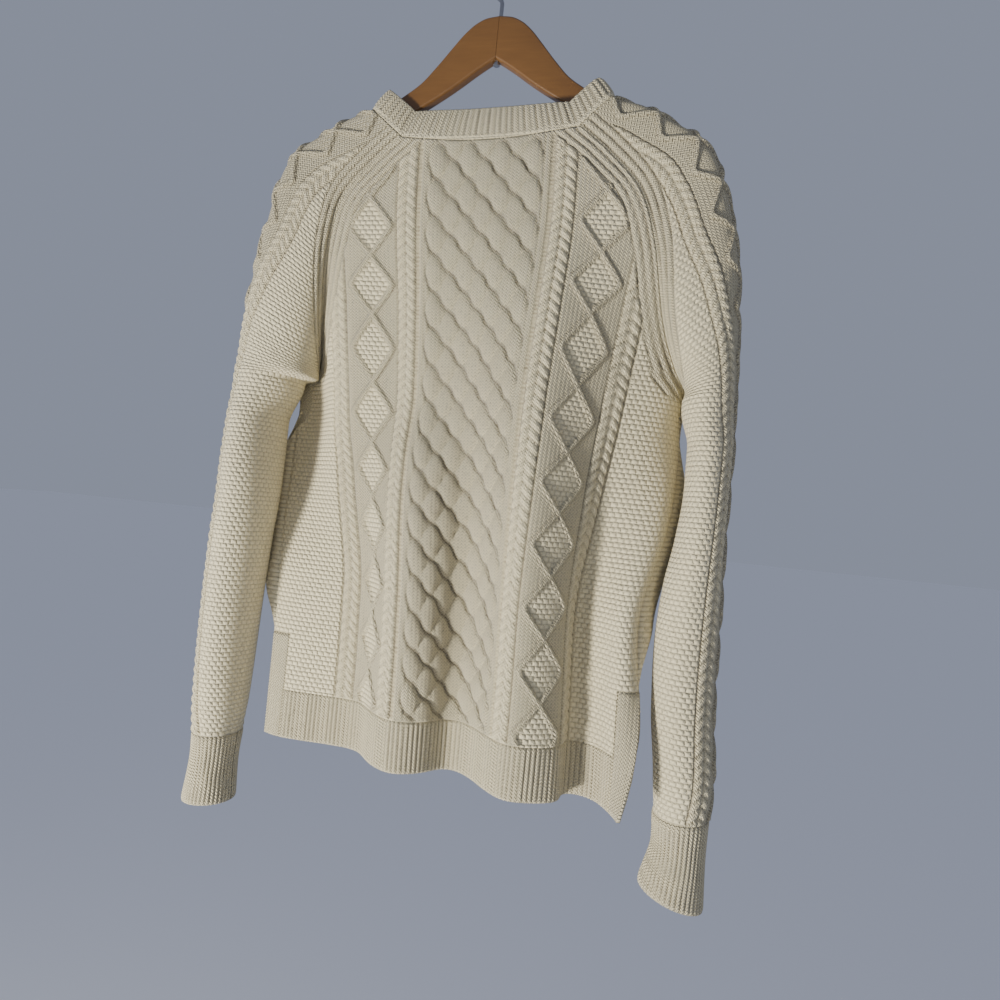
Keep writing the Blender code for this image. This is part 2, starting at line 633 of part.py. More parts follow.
class Hanger:
    """The two wooden halves and the wire hook."""

    def half(self, side, material):
        """One half: rounded sections out to a rounded end, bored for the wire."""
        places = np.array([row[0] for row in WOOD["rows"]])
        corner = np.radians(np.array([0, 45, 90]))
        points, rings = [], []
        for n, place in enumerate(places):
            top, bottom = read(WOOD, "top", place), read(WOOD, "bottom", place)
            narrow = 1.0 if n < len(places) - 2 else (0.85, 0.55)[n - len(places) + 2]
            half_y, half_z = WOOD_THICKNESS / 2 * narrow, (top - bottom) / 2
            round_ = min(WOOD_ROUND, half_z * 0.8, half_y * 0.8)
            ring = []
            for turn, (sy, sz) in enumerate(((1, 1), (-1, 1), (-1, -1), (1, -1))):
                angle = corner + turn * np.pi / 2
                ring += [(side * max(place, JOINT_GAP / 2), sy * (half_y - round_) + round_ * np.cos(a),
                          (top + bottom) / 2 + sz * (half_z - round_) + round_ * np.sin(a))
                         for a in angle]
            rings.append(range(len(points), len(points) + len(ring)))
            points += ring
        faces = [tuple(rings[0]), tuple(rings[-1])[::-1]]
        for a, b in zip(rings, rings[1:]):
            for k in range(len(a)):
                n = (k + 1) % len(a)
                faces.append((a[n], a[k], b[k], b[n]))
        if side < 0:
            faces = [face[::-1] for face in faces]
        obj = build_mesh(f"hanger_{'left' if side < 0 else 'right'}_half", points, faces, material)
        cut = obj.modifiers.new("bore", "BOOLEAN")
        cut.operation, cut.solver, cut.object = "DIFFERENCE", "EXACT", self.bore()
        return obj

    def bore(self):
        """The cutter for the wire, down through the joint."""
        if "bore" in bpy.data.objects:
            return bpy.data.objects["bore"]
        angle = np.linspace(0, 2 * np.pi, 17)[:-1] + np.pi / 16
        ring = np.stack([BORE_RADIUS * np.cos(angle), BORE_RADIUS * np.sin(angle)], axis=-1)
        points = [(x, y, z) for z in (-0.125, -0.055) for x, y in ring]
        count = len(angle)
        faces = [tuple(range(count))[::-1], tuple(range(count, 2 * count))]
        faces += [(k, (k + 1) % count, count + (k + 1) % count, count + k) for k in range(count)]
        cutter = build_mesh("bore", points, faces, make_material("bore", "steel", 0.5))
        cutter.hide_render = True
        return cutter

    def hook_path(self):
        """The wire's middle line in X and Z with its radius, from the rivet to the tip."""
        radius = HOOK_INSIDE + WIRE_RADIUS
        centre_z = -HOOK_INSIDE
        end = np.radians(HOOK_OPEN_END)
        start = np.radians(232.0)
        arc = np.linspace(start, end, 26)
        ring = np.stack([radius * np.cos(arc), centre_z + radius * np.sin(arc)], axis=-1)
        stem = np.array([[0, -0.1145], [0, -0.1140], [0, -0.1120], [0, -0.1116], [0, -0.100], [0, -0.080],
                         [0, -0.064], [0, HOOK_STEM_Z]])
        leave, arrive = stem[-1], ring[0]
        heading = np.array([-np.sin(start), np.cos(start)]) * -1
        t = np.linspace(0, 1, 9)[1:-1, None]
        length = np.linalg.norm(arrive - leave)
        bend = ((2 * t ** 3 - 3 * t ** 2 + 1) * leave + (t ** 3 - 2 * t ** 2 + t) * np.array([0, length])
                + (-2 * t ** 3 + 3 * t ** 2) * arrive + (t ** 3 - t ** 2) * heading * -length * -1)
        path = np.concatenate([stem, bend, ring])
        sizes = np.full(len(path), WIRE_RADIUS)
        sizes[0], sizes[1:3] = RIVET_RADIUS * 0.7, RIVET_RADIUS
        return path, sizes

    def hook(self, material):
        """The wire as one tube with a rivet below the wood and a rounded tip."""
        path, sizes = self.hook_path()
        tip = unit(path[-1] - path[-2])
        path = np.concatenate([path, path[-1:] + tip * 0.0012, path[-1:] + tip * 0.0019])
        sizes = np.concatenate([sizes, [WIRE_RADIUS * 0.8, WIRE_RADIUS * 0.35]])
        heading = unit(np.gradient(path, axis=0))
        heading[:4] = (0, 1)
        sideways = np.stack([heading[:, 1], -heading[:, 0]], axis=-1)
        angle = np.linspace(0, 2 * np.pi, 13)[:-1]
        count = len(angle)
        points = [(p[0] + s[0] * r * np.cos(a), r * np.sin(a), p[1] + s[1] * r * np.cos(a))
                  for p, s, r in zip(path, sideways, sizes) for a in angle]
        faces = [tuple(range(count)), tuple(range(len(points) - count, len(points)))[::-1]]
        for i in range(len(path) - 1):
            faces += [(i * count + k, (i + 1) * count + k, (i + 1) * count + (k + 1) % count,
                       i * count + (k + 1) % count) for k in range(count)]
        return build_mesh("hook", points, faces, material)


def main():
    """Clears the scene and builds every piece."""
    for obj in list(bpy.data.objects):
        bpy.data.objects.remove(obj, do_unlink=True)
    garment = Garment()
    walls = {**garment.panel_parts(-1), **garment.panel_parts(1), **garment.sleeve_parts(-1),
             **garment.sleeve_parts(1), "neckband": garment.neckband()}
    for name, wall in walls.items():
        wall.build(name, make_material(name, "cloth", 0.9))
    hanger = Hanger()
    for side in (-1, 1):
        hanger.half(side, make_material(f"wood_{'left' if side < 0 else 'right'}", "wood", 0.45))
    hanger.hook(make_material("hook", "steel", 0.3, metallic=1.0))


if __name__ == "__main__":
    main()
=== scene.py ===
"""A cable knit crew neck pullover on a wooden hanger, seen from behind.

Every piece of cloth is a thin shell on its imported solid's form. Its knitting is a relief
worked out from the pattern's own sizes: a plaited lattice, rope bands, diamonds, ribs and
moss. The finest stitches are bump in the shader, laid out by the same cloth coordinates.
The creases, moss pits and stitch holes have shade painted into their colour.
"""

from __future__ import annotations

import logging
from dataclasses import dataclass
from enum import Enum
from typing import Any

import bpy
import numpy as np
from mathutils import Matrix, Vector
from numpy.typing import NDArray

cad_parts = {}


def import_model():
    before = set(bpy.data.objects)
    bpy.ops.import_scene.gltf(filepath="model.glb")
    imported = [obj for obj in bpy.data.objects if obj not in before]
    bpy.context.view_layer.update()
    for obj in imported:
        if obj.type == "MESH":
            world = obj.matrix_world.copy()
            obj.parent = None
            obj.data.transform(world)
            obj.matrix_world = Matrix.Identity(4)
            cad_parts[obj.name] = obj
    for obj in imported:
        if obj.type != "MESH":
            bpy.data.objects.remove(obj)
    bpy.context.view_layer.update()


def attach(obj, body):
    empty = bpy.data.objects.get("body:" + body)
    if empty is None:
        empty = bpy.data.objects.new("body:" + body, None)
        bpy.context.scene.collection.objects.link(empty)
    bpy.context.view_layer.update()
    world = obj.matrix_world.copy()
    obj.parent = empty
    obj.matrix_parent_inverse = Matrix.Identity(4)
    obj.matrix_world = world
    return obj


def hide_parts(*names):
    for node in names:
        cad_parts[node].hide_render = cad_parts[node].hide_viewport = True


Array = NDArray[np.float64]
log = logging.getLogger("pullover")

LEFT, RIGHT = -1, 1
BACK, FRONT = -1, 1


# --------------------------------------------------------------------------- sizes


@dataclass(frozen=True)
class BodySizes:
    """The body's cut, in metres down from the middle of the back neck seam."""

    wall: float = 0.0030
    neck_seam_z: float = -0.197
    length: float = 0.611
    rib: float = 0.048
    vent: float = 0.105
    vent_column: float = 0.234
    vent_free: float = 0.85
    vent_behind: float = 0.014
    vent_ease: float = 0.400
    bulge_most: float = 0.286
    front_drop: float = 0.066
    front_longer: float = 0.006
    neck_v: float = -0.007
    side_u: float = 0.258
    armpit_v: float = 0.238
    front_fold_width: float = 0.118
    front_fold_at: float = 0.030


@dataclass(frozen=True)
class BandSizes:
    """The neckband."""

    height: float = 0.033
    side_less: float = 0.012
    side_u: float = 0.125
    lean_x: float = 0.87
    lean_y: float = 0.80
    belly: float = 0.0012


@dataclass(frozen=True)
class KnitSizes:
    """The knitted pattern: where each band lies from the middle, and its repeats."""

    lattice_out: float = 0.066
    lattice_wide: float = 0.033
    lattice_tall: float = 0.0367
    lattice_high: float = 0.0042
    lattice_sway: float = 0.050
    lattice_edge: float = 0.0600
    rope_middles: tuple[float, float] = (0.0808, 0.1615)
    rope_half: float = 0.0105
    rope_pitch: float = 0.0100
    rope_drop: float = 0.0085
    rope_high: float = 0.0036
    diamond_middle: float = 0.1205
    diamond_half: float = 0.0225
    strand_half: float = 0.0034
    strand_high: float = 0.0024
    moss_from: float = 0.1745
    raglan_ribs: float = 0.0187
    raglan_pitch: float = 0.0075
    raglan_high: float = 0.0024
    sleeve_rope: float = 0.0400
    sleeve_pitch: float = 0.0460
    sleeve_half: float = 0.0200
    sleeve_high: float = 0.0029
    rib_pitch: float = 0.0050
    rib_high: float = 0.0016
    neck_pitch: float = 0.0064
    neck_high: float = 0.0019
    link_row: float = 0.0050


@dataclass(frozen=True)
class HangerSizes:
    """The hanger's wood and wire."""

    thickness: float = 0.012
    round: float = 0.0030
    joint_gap: float = 0.0003
    wire: float = 0.0020
    hook_inside: float = 0.021
    stem_z: float = -0.052
    open_end: float = -38.0
    rivet: float = 0.0034


BODY, BAND, KNIT, HANGER = BodySizes(), BandSizes(), KnitSizes(), HangerSizes()

# How the hanging back tilts across its width, in degrees: plus comes forward from left to
# right. A row per height below the neck seam, a column per place across.
TILT_AT = (-0.250, -0.225, -0.195, -0.162, -0.120, -0.078, -0.050, -0.017, 0.017, 0.050,
           0.078, 0.110, 0.138, 0.162, 0.185, 0.220, 0.250)
TILT = (
    (0.000,   10,   10,  10,   5,   0,   5,   0,   3,   5,   6,   0,  -3,  -5,  -5,  -5, -10, -10),
    (0.060,   40,   40,  30,  10,   0,   5,   0,   5,   5,   8,   2,  -5,  -5,  -5, -10, -20, -20),
    (0.170,   20,   30,  48,  18,  -5,  15,   0,  15,  20,  22,   0, -25, -25, -15, -20, -40, -60),
    (0.250,    0,   38,  52,  20,   0,  20,   0,  18,  30,  30,   5, -32, -35, -25, -20, -50, -75),
    (0.330,    5,   30,  34,  10,  30,  30,   0, -20,  35,  38,  20, -38, -48, -50,   0, -15, -80),
    (0.450,   15,    5,   0,   5,  50,  30, -15, -55,  30,  45,  38, -30, -55, -85,  20,  48, -75),
    (0.611,   25,    0,  -5,   0,  50,  28, -30, -58,  32,  48,  40, -15, -38, -90,   0,  56,  65),
)

# The middle of the back and the front's own depth, a row per height below the neck seam.
MIDDLE = {
    "columns": ("forward", "aside", "draw", "front", "front_fold", "left", "right"),
    "rows": (
        (0.000, 0.018, 0.003, 1.00, 0.022, 0.000, 0.000, 0.000),
        (0.060, 0.020, 0.006, 1.00, 0.030, 0.002, 0.000, 0.000),
        (0.170, 0.018, 0.010, 0.97, 0.050, 0.003, 0.000, 0.000),
        (0.250, 0.016, 0.012, 0.95, 0.066, 0.004, 0.000, 0.000),
        (0.330, 0.016, 0.015, 0.94, 0.072, 0.006, 0.036, 0.022),
        (0.450, 0.010, 0.017, 0.92, 0.066, 0.009, 0.034, 0.024),
        (0.520, 0.008, 0.019, 0.92, 0.062, 0.011, 0.000, 0.000),
        (0.611, 0.006, 0.020, 0.92, 0.058, 0.013, 0.000, 0.000),
    ),
}

# The raglan seam on the flat cloth, and how far apart back and front hang there.
RAGLAN = {
    "columns": ("down", "out", "apart"),
    "rows": (
        (0.000, -0.007, 0.091, 0.031),
        (0.116, 0.017, 0.118, 0.033),
        (0.274, 0.054, 0.150, 0.036),
        (0.429, 0.099, 0.167, 0.038),
        (0.580, 0.144, 0.182, 0.040),
        (0.732, 0.187, 0.200, 0.038),
        (0.830, 0.214, 0.220, 0.030),
        (0.920, 0.227, 0.239, 0.018),
        (1.000, 0.238, 0.258, 0.000),
    ),
}

# The sleeve's outer fold from the neck to the armpit.
SHOULDER = {
    "columns": ("left", "right", "down", "behind", "half_depth", "square"),
    "rows": (
        (0.00, 0.125, 0.125, -0.159, 0.000, 0.0165, 0.50),
        (0.08, 0.146, 0.150, -0.165, 0.000, 0.0170, 0.50),
        (0.17, 0.173, 0.178, -0.180, 0.000, 0.0180, 0.50),
        (0.26, 0.198, 0.204, -0.195, 0.000, 0.0200, 0.52),
        (0.34, 0.215, 0.221, -0.215, 0.000, 0.0230, 0.56),
        (0.42, 0.225, 0.232, -0.240, 0.002, 0.0260, 0.62),
        (0.50, 0.232, 0.240, -0.267, 0.004, 0.0290, 0.70),
        (0.64, 0.243, 0.250, -0.312, 0.009, 0.0340, 0.80),
        (0.81, 0.255, 0.255, -0.370, 0.015, 0.0390, 0.90),
        (1.00, 0.260, 0.258, -0.432, 0.018, 0.0420, 1.00),
    ),
}

# The sleeves below the armpit, a row per height: middle, half width, depth of the middle
# behind the hanger's plane, half depth.
SLEEVES = {
    LEFT: {
        "columns": ("middle", "half_width", "behind", "half_depth"),
        "rows": (
            (0.435, 0.2310, 0.0290, 0.018, 0.0420),
            (0.475, 0.2310, 0.0275, 0.014, 0.0425),
            (0.520, 0.2290, 0.0280, 0.008, 0.0430),
            (0.565, 0.2275, 0.0285, 0.003, 0.0410),
            (0.610, 0.2290, 0.0285, 0.000, 0.0390),
            (0.660, 0.2310, 0.0280, 0.000, 0.0380),
            (0.720, 0.2325, 0.0270, 0.000, 0.0370),
            (0.780, 0.2335, 0.0255, 0.000, 0.0340),
            (0.811, 0.2345, 0.0230, 0.000, 0.0300),
            (0.840, 0.2355, 0.0225, 0.000, 0.0270),
            (0.892, 0.2375, 0.0260, 0.000, 0.0280),
        ),
    },
    RIGHT: {
        "columns": ("middle", "half_width", "behind", "half_depth"),
        "rows": (
            (0.435, 0.2330, 0.0250, 0.018, 0.0420),
            (0.475, 0.2380, 0.0215, 0.012, 0.0420),
            (0.520, 0.2380, 0.0210, 0.006, 0.0410),
            (0.565, 0.2360, 0.0230, 0.002, 0.0400),
            (0.610, 0.2330, 0.0270, 0.000, 0.0380),
            (0.660, 0.2320, 0.0290, 0.000, 0.0360),
            (0.720, 0.2340, 0.0285, 0.000, 0.0360),
            (0.780, 0.2400, 0.0275, 0.000, 0.0340),
            (0.811, 0.2410, 0.0250, 0.000, 0.0310),
            (0.840, 0.2415, 0.0240, 0.000, 0.0280),
            (0.892, 0.2380, 0.0295, 0.000, 0.0290),
        ),
    },
}
SLEEVE_START, CUFF_START, SLEEVE_END = 0.435, 0.811, 0.892
CUFF_RISE = {LEFT: 0.002, RIGHT: 0.016}
CUFF_LIFT = {LEFT: 0.009, RIGHT: 0.0}

# How far the sleeve's pattern has turned from its fold, towards the back, per height.
TWIST = {
    "columns": ("turned",),
    "rows": ((0.15, 0.022), (0.25, 0.020), (0.33, 0.006), (0.40, -0.006), (0.50, -0.013),
             (0.65, -0.013), (0.81, -0.011)),
}

# The hanger's outline, a row per place out from the middle: its top and bottom.
WOOD = {
    "columns": ("top", "bottom"),
    "rows": (
        (0.000, -0.0660, -0.1090),
        (0.012, -0.0675, -0.1165),
        (0.023, -0.0725, -0.1240),
        (0.034, -0.0820, -0.1320),
        (0.045, -0.0950, -0.1395),
        (0.060, -0.1135, -0.1490),
        (0.076, -0.1310, -0.1585),
        (0.092, -0.1425, -0.1680),
        (0.110, -0.1541, -0.1780),
        (0.130, -0.1667, -0.1885),
        (0.155, -0.1785, -0.1995),
        (0.180, -0.1915, -0.2100),
        (0.196, -0.2040, -0.2180),
        (0.202, -0.2105, -0.2195),
        (0.206, -0.2150, -0.2190),
    ),
}

# Where the plait's strands part at its middle, down from the neck seam.
LATTICE_ROWS = (0.0195, 0.057, 0.0935, 0.1305, 0.1675, 0.2025, 0.2395, 0.2745, 0.308, 0.343,
                0.3755, 0.41, 0.4435, 0.48, 0.5095, 0.5415, 0.572)

# Where the diamonds' strands cross, down from the neck seam.
CROSSINGS = (-0.004, 0.054, 0.112, 0.170, 0.238, 0.300, 0.355, 0.412, 0.468, 0.525, 0.582)


# --------------------------------------------------------------------------- formulas


def cubic(x: Any, y: Any, at: Any) -> Array:
    """Reads a monotone cubic curve through points.

    Args:
        x: The points' places, rising.
        y: Their values; may have columns.
        at: Where to read; level beyond the ends.

    Returns:
        The values there.
    """
    x, y = np.asarray(x, float), np.asarray(y, float)
    flat = y.ndim == 1
    y = y[:, None] if flat else y
    at = np.asarray(at, float)
    shape, at = at.shape, np.clip(at.ravel(), x[0], x[-1])
    width = np.diff(x)[:, None]
    step = np.diff(y, axis=0) / width
    slope = np.zeros_like(y)
    turn, total = step[:-1] * step[1:], step[:-1] + step[1:]
    slope[1:-1] = np.where(turn > 0, 2 * turn / np.where(turn > 0, total, 1), 0)
    slope[0], slope[-1] = step[0], step[-1]
    i = np.clip(np.searchsorted(x, at, side="right") - 1, 0, len(x) - 2)
    t = ((at - x[i]) / width[i, 0])[:, None]
    found = ((1 + 2 * t) * (1 - t) ** 2 * y[i] + t * (1 - t) ** 2 * width[i] * slope[i]
             + t * t * (3 - 2 * t) * y[i + 1] + t * t * (t - 1) * width[i] * slope[i + 1])
    return found[:, 0].reshape(shape) if flat else found.reshape(shape + (y.shape[1],))


def read(table: dict[str, Any], column: str, at: Any) -> Array:
    """One column of a table at a position."""
    rows = np.array(table["rows"], float)
    return cubic(rows[:, 0], rows[:, 1 + table["columns"].index(column)], at)


def unit(vectors: Array) -> Array:
    """Vectors made one long."""
    return vectors / np.maximum(np.linalg.norm(vectors, axis=-1, keepdims=True), 1e-12)


def eased(t: Any) -> Array:
    """0 to 1 with level ends."""
    t = np.clip(t, 0.0, 1.0)
    return t * t * (3 - 2 * t)


def ramp(x: Any, start: float, end: float) -> Array:
    """0 before start to 1 after end, eased."""
    return eased((np.asarray(x, float) - start) / (end - start))


def dome(t: Any, power: float = 2.0) -> Array:
    """1 in the middle of -1 to 1, falling round to 0 at the ends."""
    return np.clip(1 - np.abs(t) ** power, 0, 1) ** 0.5


def between(low: Array, high: Array, share: Array) -> Array:
    """The value a share of the way from low to high."""
    return low + (high - low) * share


def spread(knots: tuple[float, ...], counts: tuple[int, ...], fine: int) -> Array:
    """Places from knot to knot, each stretch cut into counts * fine steps."""
    parts = [np.linspace(a, b, n * fine + 1)[:-1] for a, b, n in zip(knots, knots[1:], counts)]
    return np.concatenate(parts + [np.array([knots[-1]])])


def raglan_out(v: Array) -> Array:
    """How far out the raglan seam is at a height of the cloth."""
    rows = np.array(RAGLAN["rows"], float)
    return cubic(rows[:, 1], rows[:, 2], v)


def vent_share(v: Array) -> Array:
    """0 above the side vents to 1 at the hem."""
    return eased((v - BODY.length + BODY.vent) / BODY.vent)


def power(value: Array, square: float) -> Array:
    """A signed power, for a section between a box and an ellipse."""
    return np.sign(value) * np.abs(value) ** square


def normals_of(points: Array, closed: bool = False) -> Array:
    """A grid's normals from its neighbours, one way throughout."""
    if closed:
        ring = points[:, :-1]
        across = np.roll(ring, -1, axis=1) - np.roll(ring, 1, axis=1)
        across = np.concatenate([across, across[:, :1]], axis=1)
    else:
        across = np.gradient(points, axis=1)
    return unit(np.cross(across, np.gradient(points, axis=0)))


# --------------------------------------------------------------------------- forms


class BackForm:
    """The back's outside: the tilts added up across the cloth from its middle."""

    STEPS, ROWS = 517, 248

    def __init__(self) -> None:
        self.u = np.linspace(-BODY.side_u, BODY.side_u, self.STEPS)
        self.v = np.linspace(0.0, BODY.length, self.ROWS)
        angles = np.radians(np.array([row[1:] for row in TILT], float))
        tilts = cubic([row[0] for row in TILT], cubic(TILT_AT, angles.T, self.u).T, self.v)
        step = (self.u[1] - self.u[0]) * read(MIDDLE, "draw", self.v)[:, None]
        self.x = self.added(np.cos(tilts), step) + read(MIDDLE, "aside", self.v)[:, None]
        self.forward = self.added(np.sin(tilts), step) + read(MIDDLE, "forward", self.v)[:, None]

    def added(self, rate: Array, step: Array) -> Array:
        """The running sum of a rate along each row, nought in the middle."""
        mean = (rate[:, 1:] + rate[:, :-1]) / 2 * step
        total = np.concatenate([np.zeros((len(rate), 1)), np.cumsum(mean, axis=1)], axis=1)
        return total - total[:, [self.STEPS // 2]]

    def looked_up(self, grid: Array, u: Array, v: Array) -> Array:
        """The value of a dense grid at (u, v), bilinear."""
        column = np.clip((u - self.u[0]) / (self.u[1] - self.u[0]), 0, len(self.u) - 1.001)
        row = np.clip((v - self.v[0]) / (self.v[1] - self.v[0]), 0, len(self.v) - 1.001)
        j, i = column.astype(int), row.astype(int)
        s, t = column - j, row - i
        return ((grid[i, j] * (1 - s) + grid[i, j + 1] * s) * (1 - t)
                + (grid[i + 1, j] * (1 - s) + grid[i + 1, j + 1] * s) * t)

    def points(self, u: Any, v: Any) -> Array:
        """Points at (u across, v down) of the cloth."""
        u, v = np.broadcast_arrays(np.asarray(u, float), np.asarray(v, float))
        return np.stack([self.looked_up(self.x, u, v), -self.looked_up(self.forward, u, v),
                         BODY.neck_seam_z - v], axis=-1)


class FrontForm:
    """The front's outside, between the back's own edges, folded on its own."""

    def __init__(self, back: BackForm) -> None:
        self.back = back

    def edge(self, side: int, v: Array) -> tuple[Array, Array]:
        """The seam that the front shares with the back's edge, or with the sleeve."""
        out = np.where(v < BODY.armpit_v, raglan_out(v), BODY.side_u)
        place, other = self.back.points(side * out, v), self.back.points(-side * out, v)
        level = (place[..., 1] + other[..., 1]) / 2
        alike = 1 - eased((v - BODY.neck_v) / (BODY.armpit_v - BODY.neck_v) * 1.6)
        rows = np.array(RAGLAN["rows"], float)
        shared = between(place[..., 1], level, alike) + cubic(rows[:, 1], rows[:, 3], v)
        hanging = read(MIDDLE, "front", v) - BODY.vent_behind
        return place[..., 0], between(shared, hanging, BODY.vent_free * vent_share(v))

    def points(self, u: Any, v: Any) -> Array:
        """Points at (u across, v down) of the cloth."""
        u, v = np.broadcast_arrays(np.asarray(u, float), np.asarray(v, float))
        share = np.clip(u / np.where(v < BODY.armpit_v, raglan_out(v), BODY.side_u), -1, 1)
        (left, left_y), (right, right_y) = self.edge(LEFT, v), self.edge(RIGHT, v)
        side = np.abs(share) ** 4 * np.sqrt(1 - share ** 2) / BODY.bulge_most
        out = np.where(share < 0, -read(MIDDLE, "left", v), read(MIDDLE, "right", v))
        x = between(left, right, (share + 1) / 2) + out * side
        wave = np.cos(2 * np.pi * (x - BODY.front_fold_at) / BODY.front_fold_width)
        middle_y = read(MIDDLE, "front", v) - read(MIDDLE, "front_fold", v) * wave
        full = np.clip(1 - share ** 6, 0, 1) ** (0.5 + 0.8 * eased((v - BODY.vent_ease) / BODY.vent))
        longer = BODY.front_longer * eased((v - BODY.armpit_v) / (BODY.length - BODY.armpit_v))
        return np.stack([x, between(between(left_y, right_y, (share + 1) / 2), middle_y, full),
                         BODY.neck_seam_z - v - longer * full], axis=-1)


class SleeveForm:
    """A sleeve's outside, from the neck seam over the shoulder to the cuff's hem."""

    ARC = 241

    def __init__(self, side: int, back: BackForm, front: FrontForm) -> None:
        self.side, self.back, self.front = side, back, front
        self.table = SLEEVES[side]
        self.out = "left" if side < 0 else "right"

    def half(self, ridge: Array, edge: Array, behind: float, depth: float, square: float,
             sign: int, shares: Array) -> Array:
        """One half of a section, from the outer fold to the seam, even along its arc."""
        reach = sign * (edge[1] - behind) / depth
        reach = np.sign(reach) * min(abs(reach), 0.97) ** (1 / square)
        last = np.pi - np.arcsin(reach)
        to_meet = sign * (edge[1] - behind) / power(np.sin(last), square)
        arm = (ridge - edge[[0, 2]]) / (1 - power(np.cos(last), square))
        angle = np.linspace(0, 1, self.ARC) ** 1.5 * last
        flat = ridge + (power(np.cos(angle), square) - 1)[:, None] * arm
        y = behind + sign * to_meet * power(np.sin(angle), square)
        curve = np.stack([flat[:, 0], y, flat[:, 1]], axis=-1)
        length = np.concatenate([[0], np.cumsum(np.linalg.norm(np.diff(curve, axis=0), axis=1))])
        return np.stack([np.interp(shares * length[-1], length, curve[:, k]) for k in range(3)],
                        axis=-1)

    def upper(self, part: float, shares: Array) -> Array:
        """A section above the armpit: -1 is the back seam, 0 the outer fold, 1 the front."""
        v = read(RAGLAN, "down", part)
        u = self.side * read(RAGLAN, "out", part)
        ridge = np.array([self.side * read(SHOULDER, self.out, part), read(SHOULDER, "down", part)])
        behind, depth = float(read(SHOULDER, "behind", part)), float(read(SHOULDER, "half_depth", part))
        square = float(read(SHOULDER, "square", part))
        found = np.zeros((len(shares), 3))
        for form, sign in ((self.back, -1), (self.front, 1)):
            edge = form.points(u, v)
            here = shares * sign > 0
            deep = max(depth, abs(edge[1] - behind) * 1.03)
            found[here] = self.half(ridge, edge, behind, deep, square, sign, np.abs(shares[here]))
        found[shares == 0] = (ridge[0], behind, ridge[1])
        return found

    def lower(self, height: float, shares: Array, first: Array) -> Array:
        """A section below the armpit, closed; first is the armpit's own section."""
        middle, width, behind, depth = (float(read(self.table, name, height))
                                        for name in self.table["columns"])
        rows = self.table["rows"]
        start = (first[np.argmin(shares), 1] - rows[0][3]) / rows[0][4]
        ease = 1 - eased((height - SLEEVE_START) / 0.20)
        seam = np.pi + np.arcsin(np.clip(start, -0.97, 0.97)) * ease
        angle = np.where(shares < 0, -shares * seam, -shares * (2 * np.pi - seam))
        lift = CUFF_RISE[self.side] * (1 - np.cos(angle)) / 2 + CUFF_LIFT[self.side]
        lift = lift * eased((height - CUFF_START) / (SLEEVE_END - CUFF_START))
        ring = np.stack([self.side * (middle + width * np.cos(angle)), behind - depth * np.sin(angle),
                         -height + lift], axis=-1)
        joined = first + (0, 0, SLEEVE_START - height)
        return between(joined, ring, eased((height - SLEEVE_START) / 0.045))


# --------------------------------------------------------------------------- knitting


@dataclass
class Relief:
    """What the knitting does at each point of a grid.

    Attributes:
        high: How far the point stands out, in metres.
        moss: How much of the moss stitch's bump shows, 0 to 1.
        plain: How much of the plain stitch's bump shows, 0 to 1.
        gap: How deep in a crease the point is, 0 to 1; the colour is darkened there as painted shade.
    """

    high: Array
    moss: Array
    plain: Array
    gap: Array

    @staticmethod
    def level(shape: tuple[int, ...], moss: float = 0.0, plain: float = 1.0) -> Relief:
        """A relief with nothing on it."""
        return Relief(np.zeros(shape), np.full(shape, moss), np.full(shape, plain), np.zeros(shape))

    def lay(self, other: Relief, share: Array) -> None:
        """Lays another relief over this one where share is 1."""
        for name in ("high", "moss", "plain", "gap"):
            setattr(self, name, between(getattr(self, name), getattr(other, name), share))

    def faded(self, share: Array) -> Relief:
        """This relief's height and its painted crease shade faded by a share, as towards a seam."""
        return Relief(self.high * share, self.moss, self.plain, self.gap * share)


